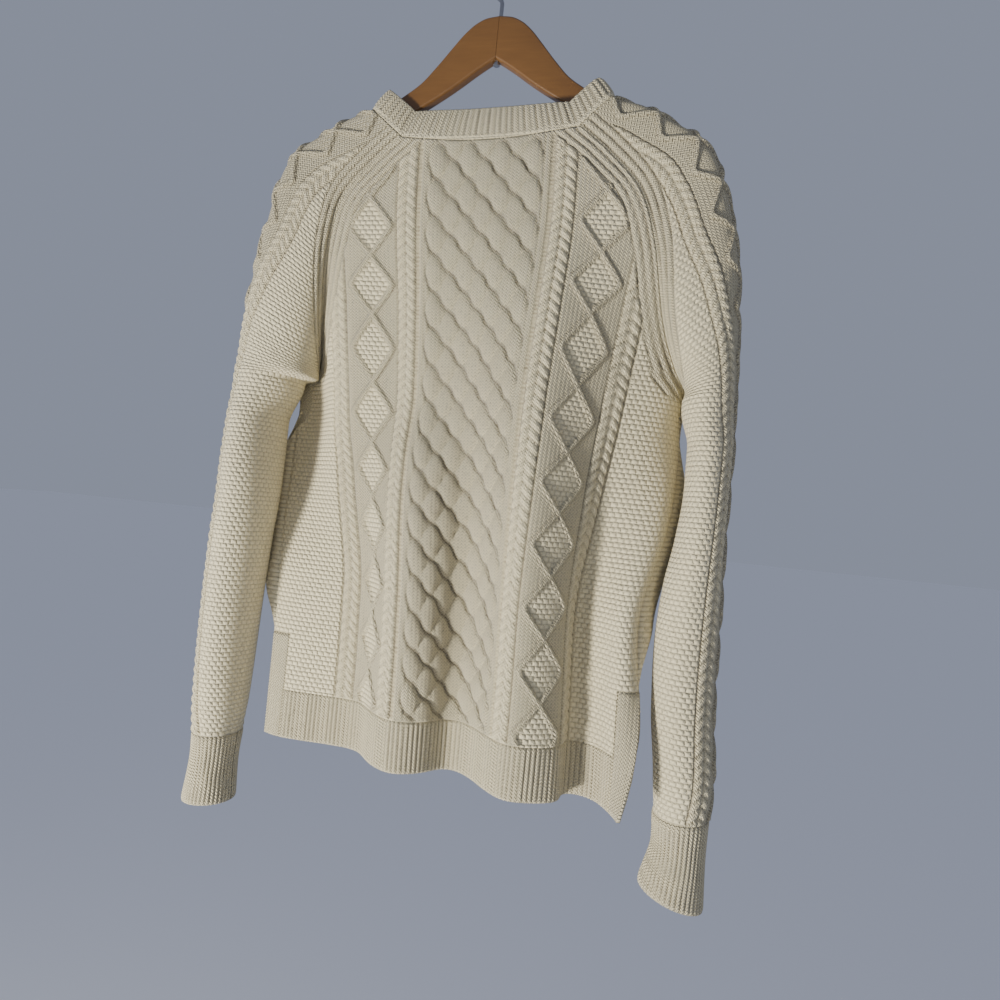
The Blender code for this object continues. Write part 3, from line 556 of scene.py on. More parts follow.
class Knit:
    """The knitted patterns, each a relief over cloth coordinates in metres."""

    @staticmethod
    def ribs(along: Array, pitch: float, high: float, sharp: float = 0.75) -> Relief:
        """Rounded ribs with narrow gutters, across the direction they're counted in."""
        wave = np.abs(np.cos(np.pi * along / pitch)) ** sharp
        found = Relief.level(along.shape, 0.0, 0.8)
        found.high = high * (wave - 0.6)
        # Painted shade in the gutters between the ribs.
        found.gap = np.clip(1 - wave * 1.45, 0, 1)
        return found

    @staticmethod
    def lattice(x: Array, y: Array) -> Relief:
        """A basket plait of wide strands that pass over and under one another."""
        wide, tall, bend_from = KNIT.lattice_wide, KNIT.lattice_tall, 0.045
        share = np.clip((np.abs(x) - bend_from) / (KNIT.lattice_edge - bend_from), 0, 1)
        bent = np.sign(x) * (bend_from + (2 * wide - bend_from) * (1 - (1 - share) ** 0.6))
        x_ = np.where(np.abs(x) < bend_from, x, bent)
        a, b = x_ / wide - y / tall, x_ / wide + y / tall
        a, b = (a + KNIT.lattice_sway * np.sin(2 * np.pi * b),
                b + KNIT.lattice_sway * np.sin(2 * np.pi * a))
        i, j = np.round(a), np.round(b)
        over = (i + j) % 2 == 0
        across = np.where(over, a - i, b - j) * 2
        along = np.where(over, b - j, a - i) * 2
        falling = dome(across, 3.6) * (1 - 0.90 * np.abs(along) ** 3.2)
        rising = (1 - 0.55 * np.abs(across) ** 3.2) * (1 - 0.92 * np.abs(along) ** 3.0)
        body = np.where(over, falling, rising)
        turning = (np.abs(i + j) / 2 > 1.6) & over
        body = np.where(turning, np.maximum(body, 0.62 * (1 - 0.5 * np.abs(along))), body)
        edge = np.clip((KNIT.lattice_edge - np.abs(x)) / 0.0042, 0, 1)
        body = body * (1 - (1 - edge) ** 2.2) ** 0.6
        found = Relief.level(x.shape, 0.0, 1.0)
        found.high = KNIT.lattice_high * (body - 0.55)
        # Painted shade along the creases where the strands pass under one another.
        crease = np.exp(-((np.abs(np.where(over, across, along)) - 1) / 0.16) ** 2)
        found.gap = np.clip(crease * 0.85 * (np.abs(x) < KNIT.lattice_edge), 0, 1)
        return found

    @staticmethod
    def rope(x: Array, y: Array) -> Relief:
        """A wheat-ear rope: strokes fall outwards from its middle."""
        s = np.clip(x / KNIT.rope_half, -1, 1)
        turn = (y - KNIT.rope_drop * np.abs(s) ** 1.3) / KNIT.rope_pitch
        stroke = np.abs(np.sin(np.pi * turn)) ** 0.55
        lobe = dome(2 * np.abs(s) - 0.96, 2.4)
        body = lobe * (0.12 + 0.88 * stroke)
        found = Relief.level(x.shape, 0.0, 0.55)
        found.high = KNIT.rope_high * (body - 0.35)
        # Painted shade where the strokes sink between one another.
        found.gap = np.clip(1.15 - body * 2.0, 0, 1)
        return found

    @staticmethod
    def gutter(y: Array) -> Relief:
        """A narrow sunk column with a row of small holes."""
        found = Relief.level(y.shape, 0.0, 0.2)
        hole = np.abs(np.cos(np.pi * y / 0.0037)) ** 3
        found.high = -0.0013 - 0.0005 * hole
        # Painted shade down the sunk column, darkest in its holes.
        found.gap = 0.35 + 0.6 * hole
        return found

    @staticmethod
    def travelling(x: Array, phase: Array, half: float, strand: float, high: float,
                   filled: float) -> Relief:
        """Two strands that part and cross again, with moss or plain inside their diamonds."""
        swing = half * (1 - np.sqrt((2 * np.abs(phase - np.floor(phase) - 0.5)) ** 2 + 0.012)) / 0.89
        beside = (np.abs(x) - np.maximum(swing, 0)) / strand
        body = dome(np.clip(beside, -1, 1), 2.6)
        inside = ramp(-beside, 0.6, 1.0)
        found = Relief.level(x.shape, 0.0, 1.0)
        found.high = high * body - 0.0004 * inside
        found.moss = filled * inside
        found.plain = 1 - 0.9 * found.moss
        # Painted shade in the creases beside the strands.
        crease = np.exp(-((np.abs(beside) - 1.0) / 0.30) ** 2)
        found.gap = 0.70 * crease
        return found

    @staticmethod
    def moss(shape: tuple[int, ...]) -> Relief:
        """Moss stitch, which is bump alone."""
        return Relief.level(shape, 1.0, 0.0)

    @classmethod
    def body(cls, u: Array, v: Array, to_raglan: Array) -> Relief:
        """A body panel's bands, from the middle out, with the raglan's ribs."""
        x = np.abs(u)
        side = np.sign(u)
        found = cls.moss(u.shape)
        phase = np.interp(v, CROSSINGS, np.arange(len(CROSSINGS)))
        diamond = cls.travelling(side * (x - KNIT.diamond_middle), phase, KNIT.diamond_half,
                                 KNIT.strand_half, KNIT.strand_high, 1.0)
        soft = 0.0012
        inner, outer = KNIT.rope_middles
        found.lay(cls.gutter(v), ramp(-x, -KNIT.moss_from, -KNIT.moss_from + soft))
        edge = KNIT.rope_half + soft
        found.lay(cls.rope(side * (x - outer), v), 1 - ramp(np.abs(x - outer), KNIT.rope_half, edge))
        found.lay(diamond, ramp(-x, -outer + KNIT.rope_half, -outer + KNIT.rope_half + 2 * soft))
        found.lay(cls.gutter(v), ramp(-x, -inner - edge - soft, -inner - edge) * 0.6)
        found.lay(cls.rope(side * (x - inner), v), 1 - ramp(np.abs(x - inner), KNIT.rope_half, edge))
        found.lay(cls.gutter(v), ramp(-x, -inner + KNIT.rope_half, -inner + KNIT.rope_half + soft))
        stretched = np.interp(v, LATTICE_ROWS, (np.arange(len(LATTICE_ROWS)) + 0.5) * KNIT.lattice_tall)
        above = np.minimum(v - LATTICE_ROWS[0], 0)
        lattice = cls.lattice(u, stretched + above).faded(ramp(v, -0.004, 0.004))
        found.lay(Relief.level(u.shape), ramp(-x, -KNIT.lattice_out, -KNIT.lattice_out + soft))
        found.lay(lattice, ramp(-x, -KNIT.lattice_edge - 0.0006, -KNIT.lattice_edge + 0.0006))
        ribs = cls.ribs(to_raglan, KNIT.raglan_pitch, KNIT.raglan_high)
        found.lay(ribs, 1 - ramp(to_raglan, KNIT.raglan_ribs, KNIT.raglan_ribs + 0.002))
        return found

    @classmethod
    def sleeve(cls, s: Array, t: Array, to_raglan: Array) -> Relief:
        """A sleeve's bands, counted from its outer fold, with the raglan's ribs."""
        x = np.abs(s)
        found = cls.moss(s.shape)
        soft = 0.0012
        middle = cls.travelling(s, t / KNIT.sleeve_pitch, KNIT.sleeve_half, KNIT.strand_half,
                                KNIT.sleeve_high, 0.0)
        rope = 1 - ramp(np.abs(x - KNIT.sleeve_rope), KNIT.rope_half, KNIT.rope_half + soft)
        found.lay(middle, ramp(-x, -KNIT.sleeve_rope, -KNIT.sleeve_rope + soft))
        found.lay(cls.rope(x - KNIT.sleeve_rope, t), rope)
        ribs = cls.ribs(to_raglan, KNIT.raglan_pitch, KNIT.raglan_high)
        found.lay(ribs, 1 - ramp(to_raglan, KNIT.raglan_ribs, KNIT.raglan_ribs + 0.002))
        found.high = found.high - 0.0010
        return found


# --------------------------------------------------------------------------- meshes


@dataclass
class Grid:
    """A fine outer grid of cloth with what the shell needs to know of it."""

    points: Array
    normals: Array
    cloth: Array
    relief: Relief
    fine: int = 4
    cells: NDArray[np.bool_] | None = None
    closed_from: int | None = None

    def outside(self) -> Array:
        """The knitted surface."""
        return self.points + self.normals * self.relief.high[..., None]


class Shell:
    """A thin shell: the fine knitted outside, a coarser inside and a rim between them."""

    def __init__(self, name: str, grid: Grid, material: bpy.types.Material) -> None:
        self.name, self.grid, self.material = name, grid, material

    def numbered(self, rows: int, columns: int, first: int, wrap_from: int | None) -> Any:
        """The number of each grid point; wrapped rows end on their own first point."""
        found = np.arange(rows * columns).reshape(rows, columns) + first
        if wrap_from is not None:
            found[wrap_from:, -1] = found[wrap_from:, 0]
        return found

    def build(self) -> bpy.types.Object:
        """Makes the mesh object.

        Returns:
            The piece, closed and facing out.
        """
        grid, fine = self.grid, self.grid.fine
        outer = grid.outside()
        coarse = grid.points[::fine, ::fine] - grid.normals[::fine, ::fine] * BODY.wall
        rows, columns = coarse.shape[:2]
        cells = np.ones((rows - 1, columns - 1), bool) if grid.cells is None else grid.cells
        wrap = grid.closed_from
        top = self.numbered(*outer.shape[:2], 0, None if wrap is None else wrap * fine)
        low = self.numbered(rows, columns, top.size, wrap)
        many = np.repeat(np.repeat(cells, fine, axis=0), fine, axis=1)
        out = self.quads(top, many)
        inside = self.quads(low, cells)[:, ::-1]
        rims = self.rims(top, low, cells, fine, wrap)
        points = np.concatenate([outer.reshape(-1, 3), coarse.reshape(-1, 3)])
        cloth = np.concatenate([grid.cloth.reshape(-1, 2),
                                grid.cloth[::fine, ::fine].reshape(-1, 2)])
        corner = outer[::fine, ::fine]
        facing = np.cross(corner[1:, :-1] - corner[:-1, :-1], corner[:-1, 1:] - corner[:-1, :-1])
        flip = np.sum(facing * grid.normals[:-1:fine, :-1:fine]) < 0
        faces = [*out.tolist(), *inside.tolist(), *rims]
        if flip:
            faces = [face[::-1] for face in faces]
        used = np.unique(np.concatenate([np.asarray(face) for face in (out.ravel(), inside.ravel())]
                                        + [np.asarray([k for face in rims for k in face])]))
        place = np.full(len(points), -1)
        place[used] = np.arange(len(used))
        mesh = bpy.data.meshes.new(self.name)
        mesh.from_pydata(points[used].tolist(), [], [[int(place[k]) for k in face] for face in faces])
        self.paint(mesh, used, cloth, top.size)
        mesh.materials.append(self.material)
        obj = bpy.data.objects.new(self.name, mesh)
        bpy.context.scene.collection.objects.link(obj)
        log.info("%s: %d points, %d faces", self.name, len(used), len(faces))
        return obj

    @staticmethod
    def quads(number: Any, cells: NDArray[np.bool_]) -> Any:
        """The quads of the cells that are there."""
        found = np.stack([number[:-1, :-1], number[1:, :-1], number[1:, 1:], number[:-1, 1:]], axis=-1)
        return found[cells]

    @staticmethod
    def rims(top: Any, low: Any, cells: NDArray[np.bool_], fine: int,
             wrap: int | None) -> list[list[int]]:
        """The rim's faces: each joins one coarse edge to its run of fine ones.

        Args:
            top: The numbers of the fine outside's points.
            low: The numbers of the coarse inside's points.
            cells: Which coarse cells are there.
            fine: Fine cells along each coarse one.
            wrap: The first row that closes on itself, if any does.

        Returns:
            One many-sided face for each open edge of the cells.
        """
        found: list[list[int]] = []
        rows, columns = cells.shape
        padded = np.zeros((rows + 2, columns + 2), bool)
        padded[1:-1, 1:-1] = cells
        if wrap is not None:
            padded[1 + wrap:-1, 0] = cells[wrap:, -1]
            padded[1 + wrap:-1, -1] = cells[wrap:, 0]
        steps = np.arange(fine + 1)
        for i, j in zip(*np.nonzero(cells)):
            a, b = i * fine, j * fine
            sides = (
                (padded[i, j + 1], top[a, b + steps[::-1]], low[i, j + 1], low[i, j]),
                (padded[i + 2, j + 1], top[a + fine, b + steps], low[i + 1, j], low[i + 1, j + 1]),
                (padded[i + 1, j], top[a + steps, b], low[i, j], low[i + 1, j]),
                (padded[i + 1, j + 2], top[a + steps[::-1], b + fine], low[i + 1, j + 1], low[i, j + 1]),
            )
            for there, run, start, end in sides:
                if not there:
                    found.append([*(int(k) for k in run[::-1]), int(start), int(end)])
        return found

    def paint(self, mesh: bpy.types.Mesh, used: Any, cloth: Array, outer_count: int) -> None:
        """Stores the cloth coordinates and the relief's shares on the mesh's points."""
        relief = self.grid.relief
        # gap carries the painted crease shade that the knit's colour is darkened by.
        for name, values, inner in (("gap", relief.gap, 0.0), ("moss", relief.moss, 0.0),
                                    ("plain", relief.plain, 1.0)):
            whole = np.full(len(cloth), inner)
            whole[:outer_count] = values.ravel()
            layer = mesh.attributes.new(name, "FLOAT", "POINT")
            layer.data.foreach_set("value", whole[used].astype(np.float32))
        loops = np.empty(len(mesh.loops), np.int32)
        mesh.loops.foreach_get("vertex_index", loops)
        uv = mesh.uv_layers.new(name="cloth")
        uv.data.foreach_set("uv", cloth[used][loops].astype(np.float32).ravel())
        mesh.polygons.foreach_set("use_smooth", np.ones(len(mesh.polygons), bool))
        mesh.update()


# --------------------------------------------------------------------------- garment


@dataclass(frozen=True)
class Fineness:
    """Coarse cells along each stretch of a piece, and the fine cells in each."""

    fine: int = 4
    back_columns: tuple[int, ...] = (2, 7, 62, 7, 2)
    front_columns: tuple[int, ...] = (2, 5, 46, 5, 2)
    back_rows: tuple[int, ...] = (30, 32, 7)
    front_rows: tuple[int, ...] = (24, 28, 6)
    sleeve_across: int = 25
    sleeve_rows: tuple[int, int] = (36, 48)
    cuff_rows: int = 6
    rib_columns: int = 130
    rib_rows: int = 5
    band_rows: tuple[int, int] = (4, 6)


class Garment:
    """Builds every piece of the pullover on its form."""

    def __init__(self, material: bpy.types.Material, fineness: Fineness) -> None:
        self.material, self.fineness = material, fineness
        self.back = BackForm()
        self.front = FrontForm(self.back)
        self.sleeves = {side: SleeveForm(side, self.back, self.front) for side in (LEFT, RIGHT)}

    def panel(self, facing: int, columns: Array, rows_v: Array) -> tuple[Array, Array, Array, Array]:
        """A stretch of a body panel.

        Args:
            facing: BACK or FRONT.
            columns: The places across, on the cloth's full width.
            rows_v: The rows' heights on the cloth, at the seam.

        Returns:
            Points, normals, and the cloth's u and v.
        """
        share = columns / BODY.side_u
        drop = BODY.front_drop if facing > 0 else 0.0
        top = (drop - BODY.neck_v) * (1 - np.abs(share) ** 2.2) + BODY.neck_v
        fade = np.clip(1 - (rows_v - BODY.neck_v) / (BODY.armpit_v - BODY.neck_v), 0, 1)
        v = rows_v[:, None] + (top - BODY.neck_v)[None] * fade[:, None]
        limit = np.where(rows_v < BODY.armpit_v, raglan_out(rows_v), BODY.side_u)[:, None]
        u = share[None] * limit
        form = self.back if facing < 0 else self.front
        points = form.points(u, v)
        step = 0.0015
        across = form.points(np.minimum(u + step, limit), v) - form.points(np.maximum(u - step, -limit), v)
        down = form.points(u, v + step) - form.points(u, v - step)
        return points, unit(np.cross(across, down)) * facing, u, v

    def raglan_distance(self, u: Array, v: Array) -> Array:
        """How far a point of the cloth lies inside the raglan seam, square to it."""
        step = 0.004
        lean = (raglan_out(v + step) - raglan_out(v - step)) / (2 * step)
        inside = (raglan_out(v) - np.abs(u)) / np.sqrt(1 + lean ** 2)
        below = np.hypot(np.maximum(v - BODY.armpit_v, 0) * 0.5, BODY.side_u - np.abs(u))
        beyond = np.maximum(below, inside) + ramp(v, BODY.armpit_v, BODY.armpit_v + 0.02)
        return np.where(v < BODY.armpit_v, inside, beyond)

    def body_piece(self, facing: int) -> Grid:
        """The back or front panel, without its rib and vent bands."""
        f, edge = self.fineness, BODY.vent_column
        out = KNIT.moss_from
        counts = f.back_columns if facing < 0 else f.front_columns
        rows = f.back_rows if facing < 0 else f.front_rows
        vent, rib = BODY.length - BODY.vent, BODY.length - BODY.rib
        columns = spread((-BODY.side_u, -edge, -out, out, edge, BODY.side_u), counts, f.fine)
        rows_v = spread((BODY.neck_v, BODY.armpit_v, vent, rib), rows, f.fine)
        points, normals, u, v = self.panel(facing, columns, rows_v)
        relief = Knit.body(u, v, self.raglan_distance(u, v))
        relief = relief.faded(self.border(points))
        cells = np.ones((sum(rows), sum(counts)), bool)
        cells[sum(rows[:2]):, :counts[0]] = False
        cells[sum(rows[:2]):, -counts[-1]:] = False
        return Grid(points, normals, np.stack([u, v], axis=-1), relief, f.fine, cells)

    @staticmethod
    def border(points: Array, reach: float = 0.0018, ends: tuple[bool, bool] = (True, True)) -> Array:
        """0 at a grid's first and last rows, rising to 1 within reach."""
        down = np.linalg.norm(np.diff(points, axis=0), axis=-1)
        from_top = np.concatenate([np.zeros((1, points.shape[1])), np.cumsum(down, axis=0)])
        from_low = from_top[-1:] - from_top
        share = np.ones(points.shape[:2])
        if ends[0]:
            share *= ramp(from_top, 0.0, reach)
        if ends[1]:
            share *= ramp(from_low, 0.0, reach)
        return share

    def hem_rib(self, facing: int) -> Grid:
        """The rib along the hem, between the vent bands."""
        f, edge = self.fineness, BODY.vent_column
        count = f.rib_columns if facing < 0 else f.rib_columns * 3 // 4
        columns = spread((-edge, edge), (count,), f.fine)
        rows_v = spread((BODY.length - BODY.rib + 0.0003, BODY.length), (f.rib_rows,), f.fine)
        points, normals, u, v = self.panel(facing, columns, rows_v)
        relief = Knit.ribs(u, KNIT.rib_pitch, KNIT.rib_high)
        relief = relief.faded(0.15 + 0.85 * self.border(points, 0.003))
        return Grid(points, normals, np.stack([u, v], axis=-1), relief, f.fine)

    def vent_band(self, facing: int, side: int) -> Grid:
        """The smooth band beside a vent."""
        f, gap = self.fineness, 0.0003
        ends = (BODY.vent_column + gap, BODY.side_u)
        columns = spread(ends if side > 0 else (-ends[1], -ends[0]), (f.band_rows[0],), f.fine)
        rows_v = spread((BODY.length - BODY.vent + gap, BODY.length), (f.band_rows[1],), f.fine)
        points, normals, u, v = self.panel(facing, columns, rows_v)
        relief = Relief.level(u.shape)
        inner = np.abs(np.abs(u) - BODY.vent_column)
        # Painted shade along the sunk seam at the band's inner edge.
        relief.gap = 0.45 * (1 - ramp(inner, 0.0, 0.0020))
        selvage = 1 - ramp(BODY.side_u - np.abs(u), 0.0, 0.004)
        relief.high = 0.0005 * selvage - 0.0008 * (1 - ramp(inner, 0.0, 0.0025))
        return Grid(points, normals, np.stack([u, v], axis=-1), relief, f.fine)

    def sleeve_rows(self, side: int, parts: Array, heights: Array, shares: Array) -> Array:
        """The sections of a sleeve above and below the armpit."""
        form = self.sleeves[side]
        first = form.upper(1.0, shares)
        return np.array([form.upper(part, shares) for part in parts]
                        + [form.lower(height, shares, first) for height in heights])

    def sleeve_measures(self, points: Array) -> tuple[Array, Array, Array]:
        """Distances over a sleeve: out from its fold, down its fold, and in from its edge."""
        middle = points.shape[1] // 2
        around = np.linalg.norm(np.diff(points, axis=1), axis=-1)
        s = np.concatenate([np.zeros((len(points), 1)), np.cumsum(around, axis=1)], axis=1)
        s = s - s[:, [middle]]
        down = np.linalg.norm(np.diff(points[:, middle], axis=0), axis=-1)
        t = np.concatenate([[0], np.cumsum(down)])[:, None] + 0 * s
        edge = np.where(s < 0, -s[:, :1], s[:, -1:])
        return s, t, edge - np.abs(s)

    def sleeve(self, side: int) -> tuple[Grid, Grid]:
        """A sleeve and its cuff."""
        f = self.fineness
        shares = np.linspace(-1, 1, 2 * f.sleeve_across * f.fine + 1)
        parts = np.linspace(0, 1, f.sleeve_rows[0] * f.fine + 1)
        heights = np.linspace(SLEEVE_START, CUFF_START, f.sleeve_rows[1] * f.fine + 1)[1:]
        cuffs = np.linspace(CUFF_START, SLEEVE_END, f.cuff_rows * f.fine + 1)
        points = self.sleeve_rows(side, parts, np.concatenate([heights, cuffs[1:]]), shares)
        armpit = f.sleeve_rows[0]
        tube = armpit * f.fine
        last = len(parts) + len(heights) - 1
        points[tube:, -1] = points[tube:, 0] = (points[tube:, 0] + points[tube:, -1]) / 2
        upper, lower = normals_of(points), normals_of(points, closed=True)
        share = ramp(np.arange(len(points)), tube - 2 * f.fine, tube)[:, None, None]
        normals = unit(between(upper, lower, share)) * -side
        s, t, inside = self.sleeve_measures(points)
        middle = points.shape[1] // 2
        away = inside + ramp(t, t[tube, 0] - 0.03, t[tube, 0] + 0.01)
        turned = read(TWIST, "turned", -points[:, [middle], 2])
        relief = Knit.sleeve(s + turned, t, away)
        cut = slice(0, last + 1)
        relief = Relief(*(getattr(relief, name)[cut] for name in ("high", "moss", "plain", "gap")))
        relief = relief.faded(self.border(points[cut]))
        cloth = np.stack([s, t], axis=-1)
        main = Grid(points[cut], normals[cut], cloth[cut], relief, f.fine, closed_from=armpit)
        ring = points[last:].copy()
        ring[0, :, 2] -= 0.0003
        share = s[last:] / np.abs(s[last:]).max(axis=1, keepdims=True)
        around = (share * round(0.100 / KNIT.rib_pitch) + 0.5) * KNIT.rib_pitch
        ribs = Knit.ribs(around, KNIT.rib_pitch, KNIT.rib_high)
        ribs = ribs.faded(0.2 + 0.8 * self.border(ring, 0.003))
        return main, Grid(ring, normals[last:], cloth[last:], ribs, f.fine, closed_from=0)

    def neckband(self) -> Grid:
        """The neckband round the seam of all four pieces."""
        f = self.fineness
        columns = spread((-BODY.side_u, BODY.side_u), (40,), f.fine)
        top = np.array([BODY.neck_v])
        shares = np.linspace(-1, 1, 2 * 14 * f.fine + 1)
        back, front = (self.panel(facing, columns, top) for facing in (BACK, FRONT))
        runs = []
        for points, normals in ((back[0][0], back[1][0]), self.neck_arc(RIGHT, shares),
                                (front[0][0, ::-1], front[1][0, ::-1]), self.neck_arc(LEFT, shares[::-1])):
            runs.append((points[:-1], normals[:-1]))
        seam = np.concatenate([run[0] for run in runs] + [runs[0][0][:1]])
        normals = np.concatenate([run[1] for run in runs] + [runs[0][1][:1]])
        for _ in range(24):
            ring = normals[:-1]
            normals[:-1] = unit(np.roll(ring, 1, axis=0) + ring * 2 + np.roll(ring, -1, axis=0))
            normals[-1] = normals[0]
        rise = BAND.height - BAND.side_less * np.clip(np.abs(seam[:, 0]) / BAND.side_u, 0, 1) ** 2
        over = seam * (BAND.lean_x, BAND.lean_y, 1) + np.stack([0 * rise, 0 * rise, rise], axis=-1)
        share = np.linspace(1, 0, 8 * f.fine + 1)[:, None, None]
        low = seam + unit(over - seam) * 0.0006
        rows = between(low, over, share) + normals * (BAND.belly * 4 * share * (1 - share))
        own = normals_of(rows, closed=True)
        own *= np.sign(np.einsum("ijk,jk->ij", own, normals).mean())
        own = unit(own * (1 - (1 - share) ** 6) + normals * (1 - share) ** 6)
        along = np.concatenate([[0], np.cumsum(np.linalg.norm(np.diff(seam, axis=0), axis=1))])
        count = round(along[-1] / KNIT.neck_pitch)
        along = np.broadcast_to(along / along[-1] * count * KNIT.neck_pitch, rows.shape[:2])
        down = rise * (1 - share[..., 0])
        relief = Knit.ribs(along, KNIT.neck_pitch, KNIT.neck_high)
        linking = ramp(rise - down, KNIT.link_row, KNIT.link_row - 0.002)
        relief.lay(Relief.level(relief.high.shape, 0.8, 0.3), linking * 0.8)
        relief = relief.faded(0.25 + 0.75 * self.border(rows, 0.003))
        return Grid(rows, own, np.stack([along, down], axis=-1), relief, f.fine, closed_from=0)

    def neck_arc(self, side: int, shares: Array) -> tuple[Array, Array]:
        """A sleeve's top edge and the way it faces."""
        form = self.sleeves[side]
        rows = np.array([form.upper(part, shares) for part in (0.0, 0.012, 0.024)])
        normals = unit(np.cross(np.gradient(rows, axis=1), np.gradient(rows, axis=0)))[0]
        order = 1 if shares[0] < shares[-1] else -1
        return rows[0], normals * -side * order

    def build(self) -> dict[str, bpy.types.Object]:
        """Makes every piece of cloth by its node's name."""
        grids: dict[str, Grid] = {}
        for facing, name in ((BACK, "back"), (FRONT, "front")):
            grids[f"{name}_panel"] = self.body_piece(facing)
            grids[f"{name}_hem_rib"] = self.hem_rib(facing)
            for side, word in ((LEFT, "left"), (RIGHT, "right")):
                grids[f"{name}_vent_band_{word}"] = self.vent_band(facing, side)
        for side, word in ((LEFT, "left"), (RIGHT, "right")):
            grids[f"{word}_sleeve"], grids[f"{word}_cuff"] = self.sleeve(side)
        grids["neckband"] = self.neckband()
        return {name: Shell(f"{name}_knit", grid, self.material).build()
                for name, grid in grids.items()}


# --------------------------------------------------------------------------- hanger


class Hanger:
    """The wooden halves and the wire hook."""

    def __init__(self, wood: bpy.types.Material, wire: bpy.types.Material) -> None:
        self.wood, self.wire = wood, wire

    @staticmethod
    def mesh(name: str, rings: Array, material: bpy.types.Material) -> bpy.types.Object:
        """A closed loft through rings of points, its ends capped."""
        rows, count = rings.shape[:2]
        faces = [[i * count + k, i * count + (k + 1) % count, (i + 1) * count + (k + 1) % count,
                  (i + 1) * count + k] for i in range(rows - 1) for k in range(count)]
        faces += [list(range(count))[::-1], list(range((rows - 1) * count, rows * count))]
        data = bpy.data.meshes.new(name)
        data.from_pydata(rings.reshape(-1, 3).tolist(), [], faces)
        data.materials.append(material)
        data.polygons.foreach_set("use_smooth", np.ones(len(faces), bool))
        data.update()
        corners = np.array([[rings.reshape(-1, 3)[k] for k in face[:3]] for face in faces[:-2]])
        if np.einsum("ij,ij->", corners[:, 0], np.cross(corners[:, 1], corners[:, 2])) < 0:
            data.flip_normals()
        data.set_sharp_from_angle(angle=np.radians(50))
        obj = bpy.data.objects.new(name, data)
        bpy.context.scene.collection.objects.link(obj)
        log.info("%s: %d faces", name, len(faces))
        return obj

    def half(self, side: int) -> bpy.types.Object:
        """One wooden half, with rounded edges and a rounded end."""
        last = WOOD["rows"][-1][0]
        straight, turned = np.linspace(0, last - 0.010, 90), np.linspace(0.93, 0, 10)
        places = np.concatenate([straight, last - 0.010 * turned ** 2])
        corner = np.radians(np.linspace(0, 90, 6))
        rings = []
        for place in places:
            top, bottom = float(read(WOOD, "top", place)), float(read(WOOD, "bottom", place))
            narrow = 1 - 0.45 * ramp(place, last - 0.010, last)
            half_y, half_z = HANGER.thickness / 2 * narrow, (top - bottom) / 2
            round_ = min(HANGER.round, half_z * 0.8, half_y * 0.8)
            ring = []
            for turn, (sy, sz) in enumerate(((1, 1), (-1, 1), (-1, -1), (1, -1))):
                angle = corner + turn * np.pi / 2
                ring += [(side * max(place, HANGER.joint_gap / 2),
                          sy * (half_y - round_) + round_ * np.cos(a),
                          (top + bottom) / 2 + sz * (half_z - round_) + round_ * np.sin(a)) for a in angle]
            rings.append(ring)
        word = "left" if side < 0 else "right"
        return self.mesh(f"hanger_{word}_wood", np.array(rings), self.wood)

    def hook(self) -> bpy.types.Object:
        """The wire as one tube with a rivet below the wood and a rounded tip."""
        h = HANGER
        start, end = np.radians(232.0), np.radians(h.open_end)
        arc = np.linspace(start, end, 72)
        radius = h.hook_inside + h.wire
        ring = np.stack([radius * np.cos(arc), -h.hook_inside + radius * np.sin(arc)], axis=-1)
        heights = (-0.1145, -0.1140, -0.1120, -0.1116, -0.100, -0.080, -0.064, h.stem_z)
        stem = np.array([[0, z] for z in heights])
        heading = np.array([np.sin(start), -np.cos(start)])
        t = np.linspace(0, 1, 24)[1:-1, None]
        length = np.linalg.norm(ring[0] - stem[-1])
        bend = ((2 * t ** 3 - 3 * t ** 2 + 1) * stem[-1] + (t ** 3 - 2 * t ** 2 + t) * np.array([0, length])
                + (-2 * t ** 3 + 3 * t ** 2) * ring[0] + (t ** 3 - t ** 2) * heading * length)
        tip = unit(ring[-1] - ring[-2])
        path = np.concatenate([stem, bend, ring, ring[-1:] + tip * 0.0012, ring[-1:] + tip * 0.0019])
        sizes = np.full(len(path), h.wire)
        sizes[0], sizes[1:3] = h.rivet * 0.7, h.rivet
        sizes[-2:] = h.wire * 0.8, h.wire * 0.35
        way = unit(np.gradient(path, axis=0))
        way[:4] = (0, 1)
        sideways = np.stack([way[:, 1], -way[:, 0]], axis=-1)
        angle = np.linspace(0, 2 * np.pi, 25)[:-1]
        rings = np.array([[(p[0] + s[0] * r * np.cos(a), r * np.sin(a), p[1] + s[1] * r * np.cos(a))
                           for a in angle] for p, s, r in zip(path, sideways, sizes)])
        return self.mesh("hook_wire", rings, self.wire)

    def build(self) -> dict[str, bpy.types.Object]:
        """Makes the hanger's pieces by their node's name."""
        return {"hanger_left_half": self.half(LEFT), "hanger_right_half": self.half(RIGHT),
                "hook": self.hook()}


# --------------------------------------------------------------------------- materials


class Op(Enum):
    """The maths nodes' operations that the finishes use."""

    ADD = "ADD"
    SUBTRACT = "SUBTRACT"
    MULTIPLY = "MULTIPLY"
    DIVIDE = "DIVIDE"
    POWER = "POWER"
    COSINE = "COSINE"
    ABSOLUTE = "ABSOLUTE"
    FRACT = "FRACT"
    FLOOR = "FLOOR"
    MAXIMUM = "MAXIMUM"
    MINIMUM = "MINIMUM"


